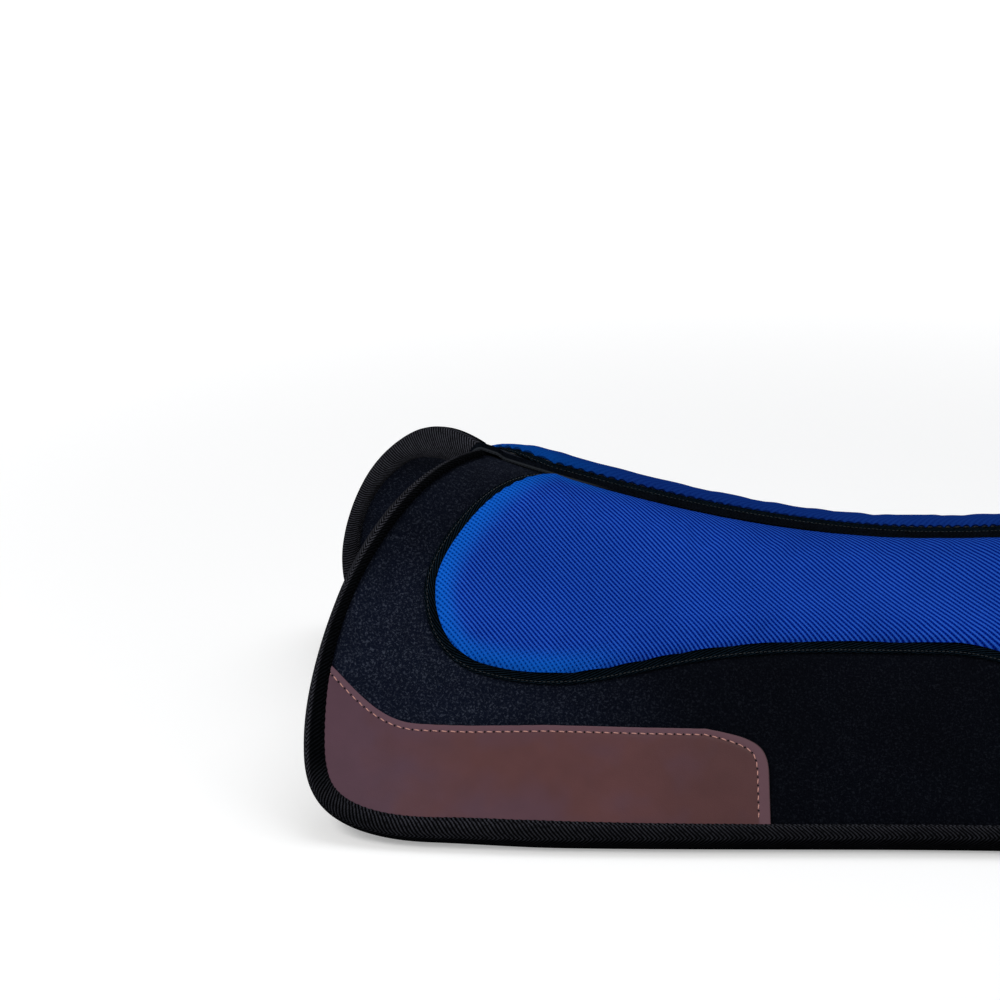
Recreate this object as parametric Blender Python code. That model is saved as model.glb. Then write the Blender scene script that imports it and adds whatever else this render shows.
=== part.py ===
"""Contoured western saddle pad, modelled in metres with Z up.

Two padded felt sides meet along the spine. Each side is a felt top, a foam core and a felt lining,
held at the rim by a folded edge binding, with a bound mesh cushion along the spine and a wear leather
along the lower front. X runs from the withers (-X) to the loin (+X), and the left side is at -Y.
Every piece is laid out on the pad's curved top face: x is the station along the pad, s the distance
from the spine down the side, and n the height above the face.
"""

import math

import bmesh
import bpy
import numpy as np

# Overall form
PAD_LENGTH = 0.984
FRONT_DRAW_IN = 0.0017
SPINE_FRONT_SETBACK = 0.158
SPINE_REAR_SETBACK = 0.060
SEAT_FROM_FRONT = 0.623
SEAT_HEIGHT = 0.211
WITHERS_RISE = 0.092
LOIN_RISE = 0.030
WITHERS_SWEEP = 1.78
RIDGE_RADIUS = 0.1495
SIDE_RADIUS = 2.08
SHOULDER_SLOPE = math.radians(33.1)
WITHERS_STEEPENING = math.radians(13.1)
LOIN_STEEPENING = math.radians(3.0)

# Rim of each side
FRONT_CORNER_DEPTH = 0.403
REAR_CORNER_DEPTH = 0.335
FRONT_CORNER_RUN = 0.1205
REAR_CORNER_RUN = 0.075

# Curve handles of the rim, as (along, down) from each edge's upper end and as a drop at its lower end
FRONT_EDGE_LEAN = (-0.088, 0.119)
FRONT_EDGE_FALL = 0.1455
REAR_EDGE_LEAN = (0.030, 0.100)
REAR_EDGE_FALL = 0.120
CORNER_DROP_SHARE = 0.964
CORNER_RUN_SHARE = 0.874

# Layers, from the top face down
FELT_TOP = 0.006
FOAM_CORE = 0.012
FELT_LINING = 0.0054
LAYER_GAP = 0.0003
SEAT_GAP = 0.0009
SPINE_CHANNEL = 0.015

# Edge binding
TAPE = 0.0018
NOSE_DEPTH = 0.008
COVER_AT_SPINE = 0.012
COVER_AT_BOTTOM = 0.021
FLOOR_CUT = 0.0005

# Mesh cushion
CUSHION_CROWN = 0.0147
CUSHION_RIM = 0.0036
CROWN_ACROSS = 3.2
CROWN_ALONG = 7
CROWN_SHOULDER = 0.55
MESH_THICKNESS = 0.003
CUSHION_SPINE_MARGIN = 0.0205
CUSHION_FRONT_MARGIN = 0.079
CUSHION_REAR_MARGIN = 0.070
FRONT_LOBE_DEPTH = 0.262
REAR_LOBE_DEPTH = 0.245
WAIST_DEPTH = 0.157
CUSHION_TAPE_WIDTH = 0.009
CUSHION_TAPE_HEIGHT = 0.0024
CUSHION_TAPE_WALL = 0.35

# Outline of the cushion: where each corner of its kidney lies from the tip of its lobe, and the curve handles
FRONT_CHIN = (0.0473, 0.0622)
REAR_CHIN = (0.055, 0.050)
FRONT_BROW = (0.114, 0.001)
REAR_BROW = (0.035, 0.006)
FRONT_CHIN_HANDLES = (0.0285, 0.0413)
REAR_CHIN_HANDLES = (0.032, 0.030)
FRONT_BROW_HANDLES = ((-0.0267, 0.0027), 0.050)
REAR_BROW_HANDLES = ((0.030, 0.020), 0.070)
FRONT_CREST_HANDLES = ((0.0416, 0.0078), 0.120)
REAR_CREST_HANDLES = (0.090, (0.040, 0.006))
FRONT_WAIST_SHARES = (0.323, 0.625)
REAR_WAIST_SHARES = (0.42, 0.30)

# Wear leather
LEATHER = 0.0022
LEATHER_HEIGHT = 0.1144
LEATHER_FRONT_HEIGHT = 0.0915
LEATHER_RISE_RUN = 0.059
LEATHER_DIP_RUN = 0.084
LEATHER_DIP = 0.004
LEATHER_LENGTH = 0.4475
LEATHER_CORNER = 0.030
LEATHER_CORNER_PULL = 0.55
LEATHER_MARGIN = 0.0014

# Spine strap and the liner tape under it
STRAP_WIDTH = 0.020
STRAP_TUCK = 0.045
STRAP_STEP = 0.012

# Facets along the rim and across the pieces
EDGE_STEPS = 9
EDGE_GATHER = 1.9
CORNER_STEPS = 6
BOTTOM_PITCH = 0.066
CUSHION_PITCH = 0.049
LEATHER_PITCH = 0.037
FINE_STEPS = 24
DEPTH_PASSES = 12
CUSHION_ROWS = 11
LEATHER_ROWS = 4
BOTTOM_STEPS = round(PAD_LENGTH / BOTTOM_PITCH)
CUSHION_COLUMNS = round(PAD_LENGTH / CUSHION_PITCH)
LEATHER_COLUMNS = round(LEATHER_LENGTH / LEATHER_PITCH)

THICKNESS = FELT_TOP + FOAM_CORE + FELT_LINING + 2 * LAYER_GAP
MID_DEPTH = THICKNESS / 2
BINDING_HALF = MID_DEPTH + SEAT_GAP + TAPE
FRONT_X = -(PAD_LENGTH + FRONT_DRAW_IN) / 2
REAR_X = FRONT_X + PAD_LENGTH
SPINE_FRONT_X = FRONT_X + SPINE_FRONT_SETBACK
SPINE_REAR_X = REAR_X - SPINE_REAR_SETBACK
SEAT_X = FRONT_X + SEAT_FROM_FRONT
CHANNEL_EDGE = SPINE_CHANNEL / 2


def rise_share(x):
    """How far the ridge has climbed from the seat: 1 at the spine's front end and at its rear end."""
    ahead = (x - SEAT_X) / (SPINE_FRONT_X - SEAT_X)
    behind = (x - SEAT_X) / (SPINE_REAR_X - SEAT_X)
    return np.where(x < SEAT_X, ahead, 0.0) ** WITHERS_SWEEP, np.where(x < SEAT_X, 0.0, behind) ** 2


def top_face(x, s):
    """One side's top face, laid out for +Y: a tight arc over the ridge and a wide arc down, tangent to it."""
    front, rear = rise_share(x)
    ridge = SEAT_HEIGHT + WITHERS_RISE * front + LOIN_RISE * rear
    shoulder = SHOULDER_SLOPE + WITHERS_STEEPENING * front + LOIN_STEEPENING * rear
    on_ridge = s < RIDGE_RADIUS * shoulder
    slope = np.where(on_ridge, s / RIDGE_RADIUS, shoulder + (s - RIDGE_RADIUS * shoulder) / SIDE_RADIUS)
    tight = np.where(on_ridge, slope, shoulder)
    across = RIDGE_RADIUS * np.sin(tight) + SIDE_RADIUS * (np.sin(slope) - np.sin(tight))
    down = RIDGE_RADIUS * (1 - np.cos(tight)) + SIDE_RADIUS * (np.cos(tight) - np.cos(slope))
    return np.stack([x, across, ridge - down], -1)


def face_frame(x, s):
    """Position, the two directions on the face and its outward normal."""
    step = 1e-4
    along = (top_face(x + step, s) - top_face(x - step, s)) / (2 * step)
    down = (top_face(x, s + step) - top_face(x, s - step)) / (2 * step)
    normal = np.cross(along, down)
    normal /= np.linalg.norm(normal, axis=-1, keepdims=True)
    normal *= np.where(normal[..., 2:] < 0, -1.0, 1.0)
    return top_face(x, s), along, down, normal


def point_on(x, s, n):
    """The point at height n above the face."""
    place, _, _, normal = face_frame(x, s)
    return place + normal * np.asarray(n)[..., None]


def bezier(a, b, c, d, steps, gather=1.0):
    """Points of a cubic curve from a to d, both ends included, gathered towards a by the power given."""
    t = np.linspace(0, 1, steps + 1)[:, None] ** gather
    return a * (1 - t) ** 3 + 3 * b * t * (1 - t) ** 2 + 3 * c * t**2 * (1 - t) + d * t**3


def bottom_depth(x):
    """How far down the side the rim's tip lies, so that the rounded binding just reaches the floor."""
    s = np.full_like(x, FRONT_CORNER_DEPTH)
    for _ in range(DEPTH_PASSES):
        place, _, down, normal = face_frame(x, s)
        centre = place[..., 2] - MID_DEPTH * normal[..., 2]
        slope = np.arcsin(np.clip(-down[..., 2], -1, 1))
        reach = np.hypot(NOSE_DEPTH * np.sin(slope), BINDING_HALF * np.cos(slope))
        s = s + (centre - reach + FLOOR_CUT) / np.sin(slope)
    return s + NOSE_DEPTH


def rim_line():
    """The tip of the rim from the spine's front end round to its rear end, as (x, s)."""
    front_top = np.array([SPINE_FRONT_X, CHANNEL_EDGE])
    front_low = np.array([FRONT_X, FRONT_CORNER_DEPTH])
    rear_top = np.array([SPINE_REAR_X, CHANNEL_EDGE])
    rear_low = np.array([REAR_X, REAR_CORNER_DEPTH])
    front_handles = front_top + FRONT_EDGE_LEAN, front_low - [0, FRONT_EDGE_FALL]
    rear_handles = rear_top + REAR_EDGE_LEAN, rear_low - [0, REAR_EDGE_FALL]
    front = bezier(front_top, *front_handles, front_low, EDGE_STEPS, EDGE_GATHER)
    rear = bezier(rear_top, *rear_handles, rear_low, EDGE_STEPS, EDGE_GATHER)
    x = np.linspace(FRONT_X + FRONT_CORNER_RUN, REAR_X - REAR_CORNER_RUN, BOTTOM_STEPS + 1)
    bottom = np.stack([x, bottom_depth(x)], 1)
    front_corner = corner(front_low, bottom[0], bottom[1])
    rear_corner = corner(rear_low, bottom[-1], bottom[-2])
    return np.concatenate([front[:-1], front_corner[:-1], bottom[:-1], rear_corner[:0:-1], rear[::-1]])


def corner(upright_end, bottom_end, bottom_next):
    """A rounded lower corner, tangent to the upright edge and to the bottom edge."""
    back = (bottom_end - bottom_next) / np.linalg.norm(bottom_end - bottom_next)
    run = abs(bottom_end[0] - upright_end[0])
    drop = bottom_end[1] - upright_end[1]
    handles = upright_end + [0, drop * CORNER_DROP_SHARE], bottom_end + back * run * CORNER_RUN_SHARE
    return bezier(upright_end, *handles, bottom_end, CORNER_STEPS)


def inset(line, distance, closed=False):
    """The line moved over the face, to the side of its inner edge, by a true distance."""
    ahead = np.roll(line, -1, 0)
    behind = np.roll(line, 1, 0)
    if not closed:
        ahead[-1], behind[0] = line[-1], line[0]
    _, along, down, normal = face_frame(line[:, 0], line[:, 1])
    step = ahead - behind
    tangent = along * step[:, :1] + down * step[:, 1:]
    inward = np.cross(tangent, normal)
    inward /= np.linalg.norm(inward, axis=1, keepdims=True)
    metric = np.stack([along, down], -1)
    shift = np.einsum("kij,kj->ki", np.linalg.pinv(metric), inward)
    return line + shift * np.broadcast_to(distance, len(line))[:, None]


def cover_at(line):
    """How far the edge binding reaches in over the face: least at the spine, most along the bottom."""
    share = np.clip(line[:, 1] / FRONT_CORNER_DEPTH, 0, 1)
    return COVER_AT_SPINE + (COVER_AT_BOTTOM - COVER_AT_SPINE) * share


def patch(top, bottom, front, rear):
    """A grid of (x, s) between four lines: top and bottom run from front to rear, front and rear run down."""
    u = np.linspace(0, 1, len(top))[None, :, None]
    v = np.linspace(0, 1, len(front))[:, None, None]
    between = (1 - v) * top[None] + v * bottom[None] + (1 - u) * front[:, None] + u * rear[:, None]
    upper_corners = (1 - v) * ((1 - u) * top[0] + u * top[-1])
    lower_corners = v * ((1 - u) * bottom[0] + u * bottom[-1])
    return between - upper_corners - lower_corners


def side_patch(line):
    """The grid that fills a rim line and is closed along the spine channel."""
    rows = EDGE_STEPS + CORNER_STEPS // 2
    front = line[: rows + 1]
    rear = line[-rows - 1 :][::-1]
    bottom = line[rows : len(line) - rows]
    share = np.cumsum(np.r_[0, np.linalg.norm(np.diff(bottom, axis=0), axis=1)])
    share = (share / share[-1])[:, None]
    top = front[:1] * (1 - share) + rear[:1] * share
    return patch(top, bottom, front, rear)


def material(name, colour, roughness):
    """A plain surface for one kind of stuff."""
    found = bpy.data.materials.get(name)
    if found:
        return found
    made = bpy.data.materials.new(name)
    made.use_nodes = True
    surface = made.node_tree.nodes["Principled BSDF"]
    surface.inputs["Base Color"].default_value = (*colour, 1)
    surface.inputs["Roughness"].default_value = roughness
    surface.inputs["Metallic"].default_value = 0.0
    made.diffuse_color = (*colour, 1)
    return made


FELT = material("charcoal_felt", (0.012, 0.014, 0.019), 0.95)
FOAM = material("grey_foam", (0.25, 0.25, 0.26), 0.90)
MESH = material("blue_mesh", (0.010, 0.085, 0.62), 0.55)
WEBBING = material("black_tape", (0.006, 0.006, 0.007), 0.75)
HIDE = material("brown_leather", (0.105, 0.048, 0.052), 0.42)


def finish(name, mesh, side, surface, parent):
    """Turns a bmesh, built for +Y, into a named object on its own side, with its faces pointing out."""
    for vertex in mesh.verts:
        vertex.co.y *= side
    bmesh.ops.recalc_face_normals(mesh, faces=mesh.faces)
    if mesh.calc_volume(signed=True) < 0:
        bmesh.ops.reverse_faces(mesh, faces=mesh.faces)
    data = bpy.data.meshes.new(name)
    mesh.to_mesh(data)
    mesh.free()
    data.materials.append(surface)
    data.shade_smooth()
    data.set_sharp_from_angle(angle=math.radians(35))
    piece = bpy.data.objects.new(name, data)
    bpy.context.scene.collection.objects.link(piece)
    piece.parent = parent
    piece.matrix_parent_inverse = parent.matrix_world.inverted()
    return piece


def loft(rings, closed):
    """Bridges rings of points, each a closed section, along an open line with capped ends or round a loop."""
    mesh = bmesh.new()
    rows = [[mesh.verts.new(p) for p in ring] for ring in rings]
    count = len(rows[0])
    pairs = list(zip(rows, rows[1:])) + ([(rows[-1], rows[0])] if closed else [])
    for one, two in pairs:
        for k in range(count):
            mesh.faces.new((one[k], one[(k + 1) % count], two[(k + 1) % count], two[k]))
    if not closed:
        mesh.faces.new(rows[0])
        mesh.faces.new(rows[-1])
    return mesh


def slab(grid, low, high, swell=0.0):
    """A closed piece over a grid of (x, s), between two heights that may vary. Its rim may swell out."""
    under = point_on(grid[..., 0], grid[..., 1], np.broadcast_to(low, grid.shape[:2]))
    over = point_on(grid[..., 0], grid[..., 1], np.broadcast_to(high, grid.shape[:2]))
    mesh = bmesh.new()
    floor = [[mesh.verts.new(p) for p in row] for row in under]
    roof = [[mesh.verts.new(p) for p in row] for row in over]
    for face in (roof, floor):
        for one, two in zip(face, face[1:]):
            for k in range(len(one) - 1):
                mesh.faces.new((one[k], one[k + 1], two[k + 1], two[k]))
    rings = [border(floor), border(roof)]
    if swell:
        rim = np.concatenate([grid[:, 0], grid[-1, 1:-1], grid[::-1, -1]])
        outer = inset(rim, -swell)
        middle = (np.mean(low) + np.mean(high)) / 2
        bulge = point_on(outer[:, 0], outer[:, 1], np.full(len(rim), middle))
        channel = (under[0, 1:-1] + over[0, 1:-1])[::-1] / 2
        rings.insert(1, [mesh.verts.new(p) for p in np.concatenate([bulge, channel])])
    for below, above in zip(rings, rings[1:]):
        for k in range(len(below)):
            mesh.faces.new((below[k - 1], below[k], above[k], above[k - 1]))
    return mesh


def border(grid):
    """The vertices round a grid: down its front edge, along the bottom, up the rear edge and back."""
    return [row[0] for row in grid] + grid[-1][1:-1] + [row[-1] for row in grid[::-1]] + grid[0][-2:0:-1]


def half_oval(depth, half_height, count):
    """Points round the nose from top to bottom, as (distance in from the tip, height)."""
    turn = np.radians(np.linspace(90, 270, count))
    return [(NOSE_DEPTH + depth * math.cos(a), half_height * math.sin(a)) for a in turn]


def binding_rings(line):
    """Sections of the folded edge tape: over the top face, round a half-oval nose and back underneath."""
    inner_half = MID_DEPTH + SEAT_GAP
    cover = cover_at(line)
    outer = half_oval(NOSE_DEPTH, BINDING_HALF, 7)
    inner = half_oval(NOSE_DEPTH - TAPE, inner_half, 5)[::-1]
    section = [(cover, BINDING_HALF)] + outer + [(cover, -BINDING_HALF), (cover, -inner_half)]
    section += inner + [(cover, inner_half)]
    columns = []
    for distance, height in section:
        moved = inset(line, distance)
        columns.append(point_on(moved[:, 0], moved[:, 1], np.full(len(line), height - MID_DEPTH)))
    return np.stack(columns, 1)


def edge_binding(line):
    """The edge tape, cut flat where the pad stands on it."""
    mesh = loft(binding_rings(line), closed=False)
    bmesh.ops.triangulate(mesh, faces=mesh.faces)
    everything = mesh.verts[:] + mesh.edges[:] + mesh.faces[:]
    cut = bmesh.ops.bisect_plane(
        mesh, geom=everything, plane_co=(0, 0, 0), plane_no=(0, 0, 1), dist=1e-7, clear_inner=True
    )
    rim = [e for e in cut["geom_cut"] if isinstance(e, bmesh.types.BMEdge) and e.is_boundary]
    bmesh.ops.edgeloop_fill(mesh, edges=rim)
    return mesh


def edge_x(line, depth):
    """The station, at a depth down the side, of the edge that the line starts with."""
    edge = line[: EDGE_STEPS + 1]
    return float(np.interp(depth, edge[:, 1], edge[:, 0]))


def cushion_sides(line):
    """The kidney outline of the mesh cushion: its top, bottom, front and rear lines as (x, s)."""
    front_depth, rear_depth = FRONT_LOBE_DEPTH - FRONT_CHIN[1], REAR_LOBE_DEPTH - REAR_CHIN[1]
    front_tip = np.array([edge_x(line, front_depth) + CUSHION_FRONT_MARGIN, front_depth])
    rear_tip = np.array([edge_x(line[::-1], rear_depth) - CUSHION_REAR_MARGIN, rear_depth])
    front_low = front_tip + FRONT_CHIN
    rear_low = rear_tip + [-REAR_CHIN[0], REAR_CHIN[1]]
    front_top = np.array([front_tip[0] + FRONT_BROW[0], CUSHION_SPINE_MARGIN + FRONT_BROW[1]])
    rear_top = np.array([rear_tip[0] - REAR_BROW[0], CUSHION_SPINE_MARGIN + REAR_BROW[1]])
    waist = np.array([SEAT_X, WAIST_DEPTH])
    crest = np.array([SEAT_X, CUSHION_SPINE_MARGIN])

    reach = (waist[0] - front_low[0]) * np.array(FRONT_WAIST_SHARES)
    fall = bezier(front_low, front_low + [reach[0], 0], waist - [reach[1], 0], waist, FINE_STEPS)
    reach = (rear_low[0] - waist[0]) * np.array(REAR_WAIST_SHARES)
    rise = bezier(waist, waist + [reach[0], 0], rear_low - [reach[1], 0], rear_low, FINE_STEPS)
    along, down = FRONT_CHIN_HANDLES
    front_chin = bezier(front_tip, front_tip + [0, down], front_low - [along, 0], front_low, FINE_STEPS)
    along, down = REAR_CHIN_HANDLES
    rear_chin = bezier(rear_tip, rear_tip + [0, down], rear_low + [along, 0], rear_low, FINE_STEPS)
    lean, drop = FRONT_BROW_HANDLES
    front_brow = bezier(front_top, front_top + lean, front_tip - [0, drop], front_tip, FINE_STEPS)
    lean, drop = REAR_BROW_HANDLES
    rear_brow = bezier(rear_top, rear_top + lean, rear_tip - [0, drop], rear_tip, FINE_STEPS)
    lean, along = FRONT_CREST_HANDLES
    top_front = bezier(front_top, front_top + lean, crest - [along, 0], crest, FINE_STEPS)
    along, lean = REAR_CREST_HANDLES
    top_rear = bezier(crest, crest + [along, 0], rear_top - lean, rear_top, FINE_STEPS)

    half = FINE_STEPS // 2
    top = np.concatenate([top_front[:-1], top_rear])
    bottom = np.concatenate([front_chin[half:-1], fall[:-1], rise[:-1], rear_chin[half:][::-1]])
    front = np.concatenate([front_brow[:-1], front_chin[: half + 1]])
    rear = np.concatenate([rear_brow[:-1], rear_chin[: half + 1]])
    columns, rows = CUSHION_COLUMNS, CUSHION_ROWS
    return spread(top, columns), spread(bottom, columns), spread(front, rows), spread(rear, rows)


def spread(line, steps):
    """The same line with evenly spaced points."""
    length = np.cumsum(np.r_[0, np.linalg.norm(np.diff(line, axis=0), axis=1)])
    at = np.linspace(0, length[-1], steps + 1)
    return np.stack([np.interp(at, length, line[:, k]) for k in range(2)], 1)


def loop_of(top, bottom, front, rear):
    """One closed line round four sides: down the front, along the bottom, up the rear and back on top."""
    return np.concatenate([front[:-1], bottom[:-1], rear[::-1][:-1], top[::-1][:-1]])


def crown(rows, columns):
    """Height of the cushion over its grid: a low sewn rim, steep shoulders and a broad, full middle."""
    v = np.abs(np.linspace(-1, 1, rows + 1))[:, None]
    u = np.abs(np.linspace(-1, 1, columns + 1))[None]
    fullness = (1 - v**CROWN_ACROSS) ** CROWN_SHOULDER * (1 - u**CROWN_ALONG) ** CROWN_SHOULDER
    return CUSHION_RIM + (CUSHION_CROWN - CUSHION_RIM) * fullness


def tape_rings(line):
    """Sections of the cushion's tape: flat under, rounded on top, lying on the felt round the cushion."""
    middles = (line + np.roll(line, -1, 0)) / 2
    line = np.stack([line, middles], 1).reshape(-1, 2)
    turn = np.linspace(0, math.pi, 3)
    wall = CUSHION_TAPE_WALL
    section = [((1 - math.cos(t)) / 2, wall + (1 - wall) * math.sin(t)) for t in turn] + [(1, 0), (0, 0)]
    columns = []
    for share, height in section:
        moved = inset(line, -SEAT_GAP - share * CUSHION_TAPE_WIDTH, closed=True)
        n = SEAT_GAP + height * CUSHION_TAPE_HEIGHT
        columns.append(point_on(moved[:, 0], moved[:, 1], np.full(len(line), n)))
    return np.stack(columns, 1)


def leather_grid(line):
    """The wear leather's grid: it follows the binding's inner edge and ends in a rounded rear corner."""
    edge = inset(line, cover_at(line) + LEATHER_MARGIN)
    rows = EDGE_STEPS + CORNER_STEPS // 2
    end_x = FRONT_X + LEATHER_LENGTH
    start_depth = FRONT_CORNER_DEPTH - LEATHER_FRONT_HEIGHT
    front = edge[: rows + 1]
    keep = front[:, 1] > start_depth
    start = np.array([np.interp(start_depth, front[:, 1], front[:, 0]), start_depth])
    front = spread(np.concatenate([[start], front[keep]]), LEATHER_ROWS)
    low = edge[rows : len(edge) - rows]
    stop = np.array([end_x, np.interp(end_x, low[:, 0], low[:, 1])])
    bottom = spread(np.concatenate([low[low[:, 0] < end_x], [stop]]), LEATHER_COLUMNS)
    crest_x = np.linspace(start[0], end_x - LEATHER_CORNER, 2 * FINE_STEPS)
    crest = np.interp(crest_x, line[rows:-rows, 0], line[rows:-rows, 1]) - LEATHER_HEIGHT
    dip = np.interp(FRONT_X + LEATHER_DIP_RUN, crest_x, crest) + LEATHER_DIP
    share = np.clip((crest_x - start[0]) / LEATHER_RISE_RUN, 0, 1)
    share = share * share * (3 - 2 * share)
    crest = np.where(share < 1, start[1] * (1 - share) + np.minimum(crest, dip) * share, crest)
    upper = np.stack([crest_x, crest], 1)
    turn_at = upper[-1]
    rear_top = np.array([end_x, turn_at[1] + LEATHER_CORNER])
    pull = LEATHER_CORNER * LEATHER_CORNER_PULL
    bend = bezier(turn_at, turn_at + [pull, 0], rear_top - [0, pull], rear_top, FINE_STEPS)
    half = FINE_STEPS // 2
    top = spread(np.concatenate([upper[:-1], bend[: half + 1]]), LEATHER_COLUMNS)
    rear = spread(np.concatenate([bend[half:], [stop]]), LEATHER_ROWS)
    return patch(top, bottom, front, rear)


def strap_rings(path, half_width, thickness):
    """Sections of a flat tape laid over the ridge along a path of (x, n)."""
    step = np.gradient(path, axis=0)
    side = np.stack([-step[:, 1], step[:, 0]], 1)
    side /= np.linalg.norm(side, axis=1, keepdims=True)
    inner, outer = path, path + side * thickness
    across = np.linspace(-half_width, half_width, 5)
    columns = []
    for track, order in ((inner, across), (outer, across[::-1])):
        for s in order:
            place = point_on(track[:, 0], np.full(len(track), abs(s)), track[:, 1])
            place[:, 1] *= 1 if s >= 0 else -1
            columns.append(place)
    return np.stack(columns, 1)


def strap_ends(line):
    """Stations where the strap turns round the front and the rear rim, clear of both over its whole width."""
    edge = STRAP_WIDTH / 2
    return edge_x(line, edge) + NOSE_DEPTH, edge_x(line[::-1], edge) - NOSE_DEPTH


def strap_path(line):
    """The strap's track over the ridge: round the front rim, along the top and down round the rear rim."""
    over = SEAT_GAP + TAPE + SEAT_GAP
    under = -THICKNESS - over
    nose = NOSE_DEPTH + SEAT_GAP
    half = (over - under) / 2
    middle = (over + under) / 2
    turn = np.radians(np.linspace(-90, 90, 9))[:, None]
    x_front, x_rear = strap_ends(line)
    front = np.concatenate([x_front - nose * np.cos(turn), middle + half * np.sin(turn)], 1)
    rear = np.concatenate([x_rear + nose * np.cos(turn), middle + half * np.sin(turn)], 1)[::-1]
    reach = COVER_AT_SPINE + SEAT_GAP
    steps = [[x_front + reach, over]], [[x_rear - reach, over]]
    x = np.linspace(x_front + reach + STRAP_STEP, x_rear - reach - STRAP_STEP, BOTTOM_STEPS + 1)
    top = np.stack([x, np.full(len(x), SEAT_GAP)], 1)
    tucks = [[x_front + STRAP_TUCK, under]], [[x_rear - STRAP_TUCK, under]]
    return np.concatenate([tucks[0], front, steps[0], top, steps[1], rear, tucks[1]])


def fold_height(x):
    """Height of the straight fold line, which runs halfway between the dipped spine and its ends' chord."""
    ends = [SPINE_FRONT_X, SPINE_REAR_X]
    rise, rise_at_seat = np.interp([x, SEAT_X], ends, [WITHERS_RISE, LOIN_RISE])
    return float(SEAT_HEIGHT - MID_DEPTH + rise - rise_at_seat / 2)


def hinge_empty(name, location):
    """A point on a fold line, carrying the pieces that turn about it."""
    empty = bpy.data.objects.new(name, None)
    empty.location = location
    bpy.context.scene.collection.objects.link(empty)
    return empty


def build_side(name, side, parent):
    """One padded side with everything that is sewn to it."""
    line = rim_line()
    grid = side_patch(inset(line, NOSE_DEPTH + SEAT_GAP))
    core_top = -FELT_TOP - LAYER_GAP
    lining_top = core_top - FOAM_CORE - LAYER_GAP
    core = slab(grid, core_top - FOAM_CORE, core_top, swell=NOSE_DEPTH / 2)
    finish(f"{name}_felt_top", slab(grid, -FELT_TOP, 0.0), side, FELT, parent)
    finish(f"{name}_foam_core", core, side, FOAM, parent)
    finish(f"{name}_felt_lining", slab(grid, lining_top - FELT_LINING, lining_top), side, FELT, parent)
    finish(f"{name}_edge_binding", edge_binding(line), side, WEBBING, parent)

    sides = cushion_sides(line)
    grid = patch(*sides)
    height = SEAT_GAP + crown(CUSHION_ROWS, CUSHION_COLUMNS)
    skin_under = np.maximum(height - MESH_THICKNESS, SEAT_GAP)
    inside = (slice(1, -1), slice(1, -1))
    foam_top = skin_under[inside] - LAYER_GAP
    finish(f"{name}_mesh_insert", slab(grid, skin_under, height), side, MESH, parent)
    finish(f"{name}_insert_foam", slab(grid[inside], SEAT_GAP, foam_top), side, FOAM, parent)
    finish(f"{name}_insert_binding", loft(tape_rings(loop_of(*sides)), closed=True), side, WEBBING, parent)
    finish(f"{name}_wear_leather", slab(leather_grid(line), SEAT_GAP, SEAT_GAP + LEATHER), side, HIDE, parent)


def build_spine(parent):
    """The strap that bridges the channel on top, and the liner tape under it."""
    line = rim_line()
    strap = loft(strap_rings(strap_path(line), STRAP_WIDTH / 2, TAPE), closed=False)
    finish("spine_strap", strap, 1, WEBBING, parent)
    x_front, x_rear = strap_ends(line)
    x = np.linspace(x_front + STRAP_TUCK + SEAT_GAP, x_rear - STRAP_TUCK - SEAT_GAP, BOTTOM_STEPS + 1)
    path = np.stack([x, np.full(len(x), -THICKNESS - SEAT_GAP - TAPE)], 1)
    finish("spine_liner", loft(strap_rings(path, STRAP_WIDTH / 2, TAPE), closed=False), 1, WEBBING, parent)


for old in list(bpy.data.objects):
    bpy.data.objects.remove(old, do_unlink=True)

fold_point = (0, 0, fold_height(0))
spine = hinge_empty("spine", fold_point)
left_fold = hinge_empty("left_fold", fold_point)
right_fold = hinge_empty("right_fold", fold_point)
bpy.context.view_layer.update()
build_spine(spine)
build_side("left", -1, left_fold)
build_side("right", 1, right_fold)
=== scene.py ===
"""Contoured western saddle pad: felt, foam, mesh cushions, tapes, leather and thread."""
import math

import bpy
import numpy as np
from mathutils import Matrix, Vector, kdtree
from mathutils.bvhtree import BVHTree


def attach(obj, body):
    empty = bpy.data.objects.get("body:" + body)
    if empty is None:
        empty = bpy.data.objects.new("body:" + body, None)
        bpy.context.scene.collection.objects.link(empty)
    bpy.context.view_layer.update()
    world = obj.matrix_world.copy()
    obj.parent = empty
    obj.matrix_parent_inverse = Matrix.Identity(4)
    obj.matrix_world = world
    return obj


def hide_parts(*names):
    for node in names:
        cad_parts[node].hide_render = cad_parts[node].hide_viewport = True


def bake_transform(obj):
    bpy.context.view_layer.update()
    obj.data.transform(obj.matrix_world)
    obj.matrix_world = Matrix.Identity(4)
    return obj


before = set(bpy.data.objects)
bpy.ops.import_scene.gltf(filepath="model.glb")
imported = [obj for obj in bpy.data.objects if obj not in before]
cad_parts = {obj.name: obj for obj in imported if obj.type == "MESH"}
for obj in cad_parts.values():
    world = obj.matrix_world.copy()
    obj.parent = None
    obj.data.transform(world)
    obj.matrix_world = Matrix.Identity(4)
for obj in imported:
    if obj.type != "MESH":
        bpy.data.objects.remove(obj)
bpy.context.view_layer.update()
SIDES = (("left", -1), ("right", 1))

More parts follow.
